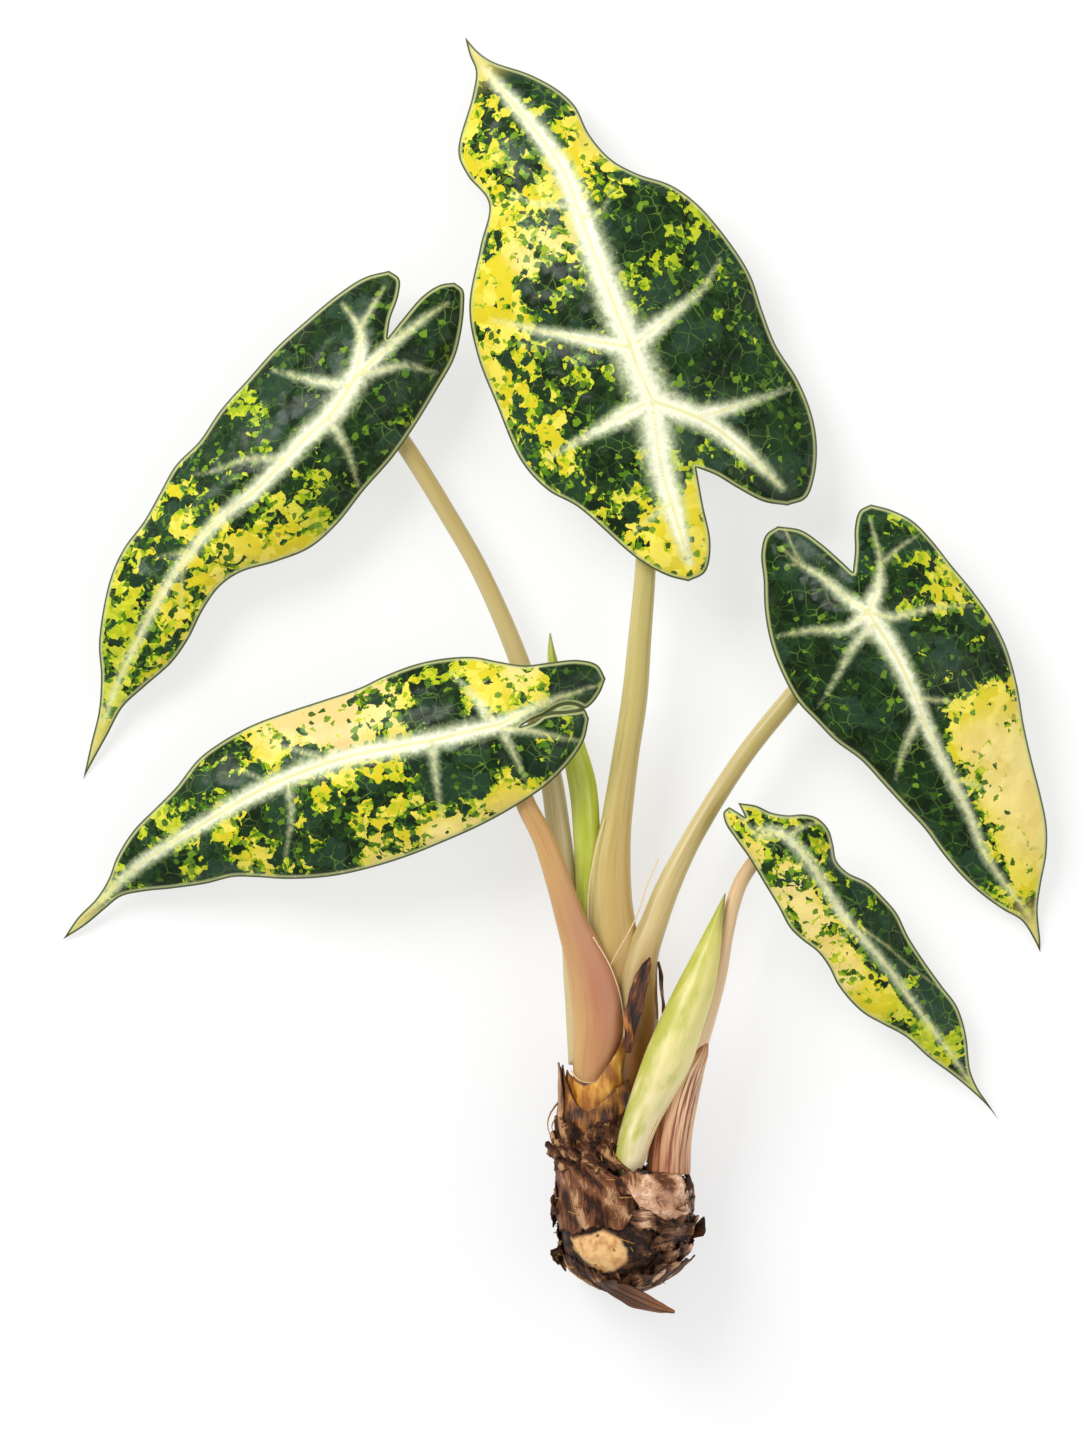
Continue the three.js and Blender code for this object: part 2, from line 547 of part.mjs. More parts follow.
// Two dried, torn tips of old sheaths that stand against the right leaf stalk.
const TORN_BRACTS = {
  torn_bract_front: [
    [21.2, -112, 30.6, 0.9, 0.5], [22.2, -104, 29.9, 1.6, 0.6], [23.6, -97, 29.3, 2, 0.6],
    [25.6, -91, 28.2, 1.9, 0.6],
    [27.2, -86.5, 27.2, 0.9, 0.5],
  ],
  torn_bract_side: [
    [32.6, -104.5, 19.5, 0.6, 1.2], [32.4, -98, 20, 0.7, 1.8], [31.8, -92, 20.3, 0.6, 1.5],
    [31, -87, 20.5, 0.5, 0.6],
  ],
};

// ---------- assembly ---------- Solids are made from the front of the plant to the back. Each is cut by
// the grown shape of those in front of it that it would touch, so that every pair keeps the same
// clearance.

const plant = new THREE.Group();

function add(name, geometry, colour, roughness) {
  const material = new THREE.MeshStandardMaterial({ color: colour, roughness, metalness: 0 });
  geometry.computeVertexNormals();
  const mesh = new THREE.Mesh(geometry, material);
  mesh.name = name;
  plant.add(mesh);
}

for (const [name, leaf] of Object.entries(LEAVES)) {
  add(`blade_${name}`, bladeGeometry(leaf), COLOURS.blade, 0.5);
}

const cataphyll = stalkGeometry(SHOOT_CATAPHYLL);
const grownShoot = [stalkGeometry(SHOOT_CATAPHYLL, GAP)];
add("shoot_cataphyll", cataphyll, COLOURS.shoot, 0.45);

const smallPetiole = cutBy(stalkGeometry(PETIOLES.small), [...grownShoot, bladeGeometry(LEAVES.small, GAP)]);
add("petiole_small", smallPetiole, COLOURS.petiole, 0.45);
grownShoot.push(stalkGeometry(PETIOLES.small, GAP));

add("shoot_dry_sheath", cutBy(stalkGeometry(SHOOT_DRY_SHEATH), grownShoot), COLOURS.drySheath, 0.7);
grownShoot.push(stalkGeometry(SHOOT_DRY_SHEATH, GAP));

const grownStem = [];
for (const name of ["lower_left", "right", "top", "upper_left"]) {
  const stalk = stalkGeometry(PETIOLES[name]);
  const colour = name === "lower_left" ? COLOURS.pinkPetiole : COLOURS.petiole;
  const cutters = [...grownShoot, ...grownStem, bladeGeometry(LEAVES[name], GAP)];
  add(`petiole_${name}`, cutBy(stalk, cutters), colour, 0.45);
  grownStem.push(stalkGeometry(PETIOLES[name], GAP));
}
add("rolled_leaf", cutBy(stalkGeometry(ROLLED_LEAF), [...grownShoot, ...grownStem]), COLOURS.newLeaf, 0.45);

for (const [name, stations] of Object.entries(TORN_BRACTS)) {
  add(name, cutBy(stalkGeometry(stations), [...grownShoot, ...grownStem]), COLOURS.brown, 0.8);
}

const stemInside = [...grownShoot, ...grownStem];
const grownCore = stalkGeometry(coreStations(BULB_CORE), GAP);
add("bulb", cutBy(stalkGeometry(coreStations(BULB_CORE)), stemInside), COLOURS.corm, 0.7);
const NECK = [
  [11.5, -150, 20, 8.2, 8.6], [11.8, -140, 20, 8.2, 8.6], [12.3, -130, 19.5, 7.6, 8],
];
const neck = stalkGeometry(NECK);
add("stem_neck", cutBy(neck, [...stemInside, grownCore]), COLOURS.amber, 0.7);

for (const [name, wrap] of Object.entries(WRAPS)) {
  add(name, cutBy(wrapGeometry(wrap), [...stemInside, grownCore]), wrap.colour, 0.8);
}

add("foot_stub", cutBy(stalkGeometry(FOOT_STUB), []), COLOURS.brown, 0.75);

export default plant;
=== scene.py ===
# %% [markdown]
# # A bare-root alocasia in Blender
# The plant is a scaly bulb with five arrow-shaped, mottled leaves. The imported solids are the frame: they fix
# every
# size and place. This lesson makes the surfaces that are seen, one kind of piece at a time, and each new
# piece stands
# where its solid stands. All lengths in the lists are millimetres, and `MM` turns them to Blender's metres.

import bmesh
import bpy
import numpy as np
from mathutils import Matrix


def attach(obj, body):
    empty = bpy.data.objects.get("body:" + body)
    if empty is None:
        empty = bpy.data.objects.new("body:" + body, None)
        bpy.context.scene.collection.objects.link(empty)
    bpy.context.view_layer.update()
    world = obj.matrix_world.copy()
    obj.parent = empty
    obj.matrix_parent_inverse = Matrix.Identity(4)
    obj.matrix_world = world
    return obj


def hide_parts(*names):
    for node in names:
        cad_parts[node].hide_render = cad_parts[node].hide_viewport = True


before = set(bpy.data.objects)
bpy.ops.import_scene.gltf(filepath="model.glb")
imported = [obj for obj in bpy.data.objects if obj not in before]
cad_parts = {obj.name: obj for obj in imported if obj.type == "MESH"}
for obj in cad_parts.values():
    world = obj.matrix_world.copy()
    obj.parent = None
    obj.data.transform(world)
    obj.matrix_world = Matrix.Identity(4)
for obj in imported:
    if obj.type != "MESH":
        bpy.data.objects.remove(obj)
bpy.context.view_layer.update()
MM = 0.001
print("frame:", len(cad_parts), "nodes")

# %% [markdown]
# ## Table, light and camera
# A plant without a pot cannot stand, so it lies on its back on a pale table, and the camera hangs three
# metres above
# it, looking straight down. A long lens at that distance shows the leaves without bending their shapes. A
# bright world
# gives the soft light of a white studio, and one large lamp at the upper left gives the leaves their sheen.

# %% Table
table_mesh = bpy.data.meshes.new("table_top")
corners = [(-3, -3, 0), (3, -3, 0), (3, 3, 0), (-3, 3, 0)]
table_mesh.from_pydata(corners, [], [(0, 1, 2, 3)])
table = bpy.data.objects.new("table_top", table_mesh)
bpy.context.scene.collection.objects.link(table)

# %% Light and camera
scene = bpy.context.scene
scene.view_settings.view_transform = "Standard"
world = bpy.data.worlds.new("studio")
world.use_nodes = True
world.node_tree.nodes["Background"].inputs["Color"].default_value = (1, 1, 1, 1)
world.node_tree.nodes["Background"].inputs["Strength"].default_value = 0.58
scene.world = world


def area_lamp(name, place, turn, size, power):
    """Adds a square lamp that shines along its own -Z, turned by three angles in degrees."""
    light = bpy.data.lights.new(name, "AREA")
    light.size = size
    light.energy = power
    lamp = bpy.data.objects.new(name, light)
    lamp.location = place
    lamp.rotation_euler = np.radians(turn)
    scene.collection.objects.link(lamp)
    return lamp


area_lamp("key_softbox", (-0.9, 0.9, 1.3), (-38, -32, 0), 0.9, 24)
area_lamp("right_fill", (1.2, -0.2, 1.2), (0, 45, 0), 1.2, 6)

camera = bpy.data.cameras.new("camera")
camera.sensor_width = 36
camera.lens = 36 * (3000 - 25) / 434.4
camera_object = bpy.data.objects.new("camera", camera)
camera_object.location = (-3.6 * MM, -15.6 * MM, 3.0)
scene.collection.objects.link(camera_object)
scene.camera = camera_object
print("camera lens", round(camera.lens, 1), "mm")

# %% [markdown]
# ## Curves and meshes from arrays
# Every piece here is a grid of points: a function of two parameters worked out for all points at once.
# Margins, veins
# and stalks are smooth curves through a few chosen points, so the first helper is such a curve.

# %% Smooth curves


def dense_curve(control, per_span=16):
    """Centripetal Catmull-Rom curve: between each two control points, a cubic whose end slopes come from the
    points on either side, weighted by the square root of the distances between them."""
    p = np.asarray(control, float)
    p = np.vstack([2 * p[0] - p[1], p, 2 * p[-1] - p[-2]])
    gap = np.maximum(np.linalg.norm(np.diff(p[:, :3], axis=0), axis=1), 1e-9) ** 0.5
    g0, g1, g2 = (g[:, None, None] for g in (gap[:-2], gap[1:-1], gap[2:]))
    p0, p1, p2, p3 = (q[:, None, :] for q in (p[:-3], p[1:-2], p[2:-1], p[3:]))
    m1 = ((p1 - p0) / g0 - (p2 - p0) / (g0 + g1) + (p2 - p1) / g1) * g1
    m2 = ((p2 - p1) / g1 - (p3 - p1) / (g1 + g2) + (p3 - p2) / g2) * g1
    t = np.linspace(0, 1, per_span, endpoint=False)[None, :, None]
    ends = (2 * t**3 - 3 * t**2 + 1) * p1 + (3 * t**2 - 2 * t**3) * p2
    slopes = (t**3 - 2 * t**2 + t) * m1 + (t**3 - t**2) * m2
    return np.vstack([(ends + slopes).reshape(-1, p.shape[1]), np.asarray(control, float)[-1]])


def along(control, shares):
    """Points at the given shares of a curve's length."""
    line = dense_curve(control)
    length = np.r_[0, np.cumsum(np.linalg.norm(np.diff(line, axis=0), axis=1))]
    return np.column_stack([np.interp(np.asarray(shares) * length[-1], length, c) for c in line.T])


# %% Meshes


def grid_quads(rows, columns, first=0, flip=False):
    """Quads of a grid of points numbered row by row, turned over when flip is true."""
    i, j = np.meshgrid(np.arange(rows - 1), np.arange(columns - 1), indexing="ij")
    a = (first + i * columns + j).ravel()
    quads = np.column_stack([a, a + columns, a + columns + 1, a + 1])
    return quads[:, ::-1] if flip else quads


def make_piece(name, node, points, quads, fields=None, uv=None, material=None):
    """Puts points and quads into a mesh, merges the seams, and ties the piece to the frame."""
    mesh = bpy.data.meshes.new(name)
    points, quads = np.asarray(points, np.float32) * MM, np.asarray(quads, np.int32)
    mesh.vertices.add(len(points))
    mesh.vertices.foreach_set("co", points.ravel())
    mesh.loops.add(quads.size)
    mesh.loops.foreach_set("vertex_index", quads.ravel())
    mesh.polygons.add(len(quads))
    mesh.polygons.foreach_set("loop_start", np.arange(0, quads.size, 4, dtype=np.int32))
    mesh.update(calc_edges=True)
    for field, values in (fields or {}).items():
        layer = mesh.attributes.new(field, "FLOAT", "POINT")
        layer.data.foreach_set("value", np.asarray(values, np.float32).ravel())
    if uv is not None:
        corners = uv[quads.ravel()].astype(np.float32)
        mesh.uv_layers.new(name="lengthwise").data.foreach_set("uv", corners.ravel())
    welded = bmesh.new()
    welded.from_mesh(mesh)
    bmesh.ops.remove_doubles(welded, verts=welded.verts, dist=2e-6)
    bmesh.ops.dissolve_degenerate(welded, dist=1e-7, edges=welded.edges)
    bmesh.ops.recalc_face_normals(welded, faces=welded.faces)
    welded.to_mesh(mesh)
    welded.free()
    mesh.polygons.foreach_set("use_smooth", np.ones(len(mesh.polygons), bool))
    piece = bpy.data.objects.new(name, mesh)
    scene.collection.objects.link(piece)
    if material:
        mesh.materials.append(material)
    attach(piece, "root")
    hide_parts(node)
    return piece


# %% [markdown]
# ## Materials
# Materials are built from a few nodes each. Colours are written as sRGB hex values, as a colour chart gives
# them, and
# one function turns them into the linear values that shaders use. Another adds a node with its settings and
# links.

# %% Colours


def paint(value):
    """sRGB hex to linear: the low end is divided by 12.92, the rest follows the 2.4 power curve."""
    c = np.array([int(value[i : i + 2], 16) / 255 for i in (0, 2, 4)])
    linear = np.where(c <= 0.04045, c / 12.92, ((c + 0.055) / 1.055) ** 2.4)
    return (*linear.tolist(), 1.0)


print("mid green 4A7619 is linear", np.round(paint("4A7619"), 3))

# %% Nodes


def add_node(tree, kind, inputs=None, output=0, **settings):
    """Adds a node with its settings, fills its inputs and gives back one output. A socket is linked, a hex
    text is painted, and a number is set."""
    node = tree.nodes.new("ShaderNode" + kind)
    for key, value in settings.items():
        setattr(node, key, value)
    for key, value in (inputs or {}).items():
        if isinstance(value, bpy.types.NodeSocket):
            tree.links.new(value, node.inputs[key])
        else:
            node.inputs[key].default_value = paint(value) if isinstance(value, str) else value
    return node.outputs[output]


# %% Layers of colour


def layer(tree, base, over, value, low, high, start=0.0, end=1.0):
    """Lays one colour over another. Its share runs smoothly from start, where value is low, to end, where
    it is high."""
    limits = {0: value, 1: low, 2: high, 3: start, 4: end}
    share = add_node(tree, "MapRange", limits, interpolation_type="SMOOTHSTEP")
    return add_node(tree, "Mix", {0: share, 6: base, 7: over}, 2, data_type="RGBA")


def weighted(tree, parts, total=0.0):
    """total + the sum of value * weight over the parts."""
    for value, weight in parts:
        total = add_node(tree, "Math", {0: value, 1: weight, 2: total}, operation="MULTIPLY_ADD")
    return total


# %% A material and its surface


def new_material(name, roughness, specular=0.5):
    """A Principled material and its node tree, with the gloss set on the shader itself."""
    material = bpy.data.materials.new(name)
    material.use_nodes = True
    shader = material.node_tree.nodes["Principled BSDF"]
    shader.inputs["Roughness"].default_value = roughness
    shader.inputs["Specular IOR Level"].default_value = specular
    return material, material.node_tree, shader


def cover(tree, shader, colour, height, strength, relief):
    """Gives the shader its colour, and a relief that is so many mm deep."""
    bump = add_node(tree, "Bump", {"Height": height, "Strength": strength, "Distance": relief * MM})
    tree.links.new(bump, shader.inputs["Normal"])
    tree.links.new(colour, shader.inputs["Base Color"])


# %% Table finish
# Matt white card, lit a little from within, so that the shadows on it stay faint.
table_material, tree, shader = new_material("matt_white_table", 0.9, 0.1)
shader.inputs["Base Color"].default_value = paint("9E9E9E")
shader.inputs["Emission Color"].default_value = (1, 1, 1, 1)
shader.inputs["Emission Strength"].default_value = 0.63
table_mesh.materials.append(table_material)
print("table is matt white")

# %% [markdown]
# ## The leaf's skin
# A variegated leaf is a mosaic. The green and the yellow cell lines grew from single cells, so the leaf is
# divided
# into small sharp-edged patches of several sizes, one inside another. Three layers of cells, 8, 4 and 1.5 mm
# wide,
# are added up, and each patch is coloured by how far the sum lies from a threshold: dark, mid green, lime or
# yellow.
# The threshold comes from a field on the leaf's points, so that each leaf can be greener or yellower where it
# needs
# to be. Over the mosaic lie the net of fine veins, the feathered white of the main veins, and the leaf's thin
# margin.

# %% Leaf patches
# A waxy leaf with a smooth skin: its gloss is a soft sheen that shows the quilting between the veins.
leaf_skin, tree, shader = new_material("waxy_variegated_leaf", 0.28, 0.17)
place = add_node(tree, "TexCoord", {}, "Object")
light, warm, vein, core, tip, margin, under = (
    add_node(tree, "Attribute", {}, "Fac", attribute_name=name)
    for name in ("light", "warm", "vein", "core", "tip", "margin", "under"))


def jagged(tree, place, size, reach):
    """Moves each point by a noise of the given size, so that straight cell edges turn ragged."""
    noise = add_node(tree, "TexNoise", {"Vector": place, "Scale": 1 / (size * MM), "Detail": 3.0}, "Color")
    centred = add_node(tree, "VectorMath", {0: noise, 1: (0.5, 0.5, 0.5)}, operation="SUBTRACT")
    scaled = add_node(tree, "VectorMath", {0: centred, "Scale": reach * MM}, operation="SCALE")
    return add_node(tree, "VectorMath", {0: place, 1: scaled}, operation="ADD")


def patches_of(tree, place, size):
    """Two random numbers for each patch of a mosaic."""
    colour = add_node(tree, "TexVoronoi", {"Vector": place, "Scale": 1 / (size * MM)}, "Color")
    split = add_node(tree, "SeparateColor", {0: colour})
    return split, split.node.outputs[1]


ragged_place = jagged(tree, place, 2.4, 2.8)
large, large_b = patches_of(tree, ragged_place, 8.0)
middle, middle_b = patches_of(tree, ragged_place, 3.8)
fine, fine_b = patches_of(tree, ragged_place, 1.5)
over = weighted(tree, [(light, 0.74), (large, -0.36), (middle, -0.4), (fine, -0.24)], 0.12)
print("patches 8, 3.8 and 1.5 mm wide")

# %% Greens and yellows
dark = layer(tree, "0C2008", "1B3614", middle_b, 0.2, 0.9)
# The grey-green in the large cells is partly the leaf's own tone and partly a painted sheen on the quilting.
dark = layer(tree, dark, "2B4833", large_b, 0.5, 0.95, 0, 0.6)
dark = layer(tree, dark, "305416", fine_b, 0.8, 0.95, 0, 0.3)
lime = layer(tree, "93AC10", "BECA26", fine_b, 0.3, 0.7)
yellow = layer(tree, "DCCA26", "EEDD56", middle_b, 0.3, 0.8)
cream = layer(tree, "ECD276", "F2DE8A", large_b, 0.1, 0.9)
pale = layer(tree, lime, yellow, warm, 0.05, 0.45)
pale = layer(tree, pale, cream, warm, 0.5, 0.78)
pale = layer(tree, pale, "F0CC84", warm, 0.78, 0.88)
print("four tones of green, and lime, yellow, cream and peach")

# %% Mosaic
mosaic = layer(tree, dark, "4C7A10", over, -0.012, 0.0)
mosaic = layer(tree, mosaic, lime, over, 0.035, 0.045)
mosaic = layer(tree, mosaic, pale, over, 0.105, 0.115)
fleck_a, fleck_b = patches_of(tree, jagged(tree, place, 1.6, 1.4), 1.7)
fleck_tone = layer(tree, "2A4A16", "6F9420", fleck_b, 0.0, 1.0)
flecked = layer(tree, mosaic, fleck_tone, fleck_a, 0.92, 0.93)
mosaic = layer(tree, flecked, mosaic, light, 1.02, 1.18)

# %% Net of fine veins
# The net is 5 mm wide, pale green on the dark parts, and hardly seen on the light ones.
net_place = jagged(tree, place, 4.0, 2.0)
cell = {"Vector": net_place, "Scale": 1 / (5.0 * MM)}
net = add_node(tree, "TexVoronoi", cell, "Distance", feature="DISTANCE_TO_EDGE")
patchy = add_node(tree, "TexNoise", {"Vector": place, "Scale": 1 / (9 * MM)})
netted = layer(tree, mosaic, "7C9A3E", net, 0.0, 0.045, 1, 0)
netted = layer(tree, mosaic, netted, patchy, 0.4, 0.7, 0.08, 0.55)
mosaic = layer(tree, netted, mosaic, light, 0.5, 1.0, 0, 0.85)

# %% Main veins
# White bands with feathered edges, greenish where they thin out, and a thin yellow line along the middle.
feather = add_node(tree, "TexNoise",
                   {"Vector": place, "Scale": 1 / (1.9 * MM), "Detail": 5.0, "Roughness": 0.7})
feathered = weighted(tree, [(feather, 0.95)], vein)
vein_tone = layer(tree, "C8D4A2", "F7F7DA", feathered, 0.7, 1.4)
vein_tone = layer(tree, vein_tone, "E6E29A", core, 0.25, 0.75, 0.75, 0)
skin = layer(tree, mosaic, vein_tone, feathered, 0.32, 1.42, 0, 0.96)

# %% Tip, margin and underside
# Colour laid on, the number it follows, where that starts and ends, and the share at each end.
EDGES = [
    ("D9C46A", tip, 6, 20, 0.85, 0),
    ("C9CF8E", margin, 0.75, 1.5, 0.75, 0),
    ("37431F", margin, 0.35, 0.75, 0.92, 0),
    ("5A3A1C", tip, 1.2, 3.2, 1, 0),
    ("A9B68C", under, 0, 1, 0, 0.62),
]
for colour, value, low, high, start, end in EDGES:
    skin = layer(tree, skin, colour, value, low, high, start, end)

# %% Quilting
quilt = add_node(tree, "TexVoronoi", cell, "Distance", feature="SMOOTH_F1")
cover(tree, shader, skin, weighted(tree, [(quilt, -1)], 1.0), 0.75, 1.1)
print("leaf skin:", len(tree.nodes), "nodes")

# %% [markdown]
# ## The leaf blades
# Each blade is an arrowhead. A spine runs from the tip, over the joint with the stalk, to the notch between
# the two
# basal lobes. Each half is ruled from the spine, and then from the notch's edge, out to the margin, and
# puffed up a
# little between them. The lists give only the points that the outline needs. Veins are lists of [x, y, half
# width of
# the white band], and tints are lists of [x, y, reach, share of light patches, warmth from lime 0 to cream
# 1].

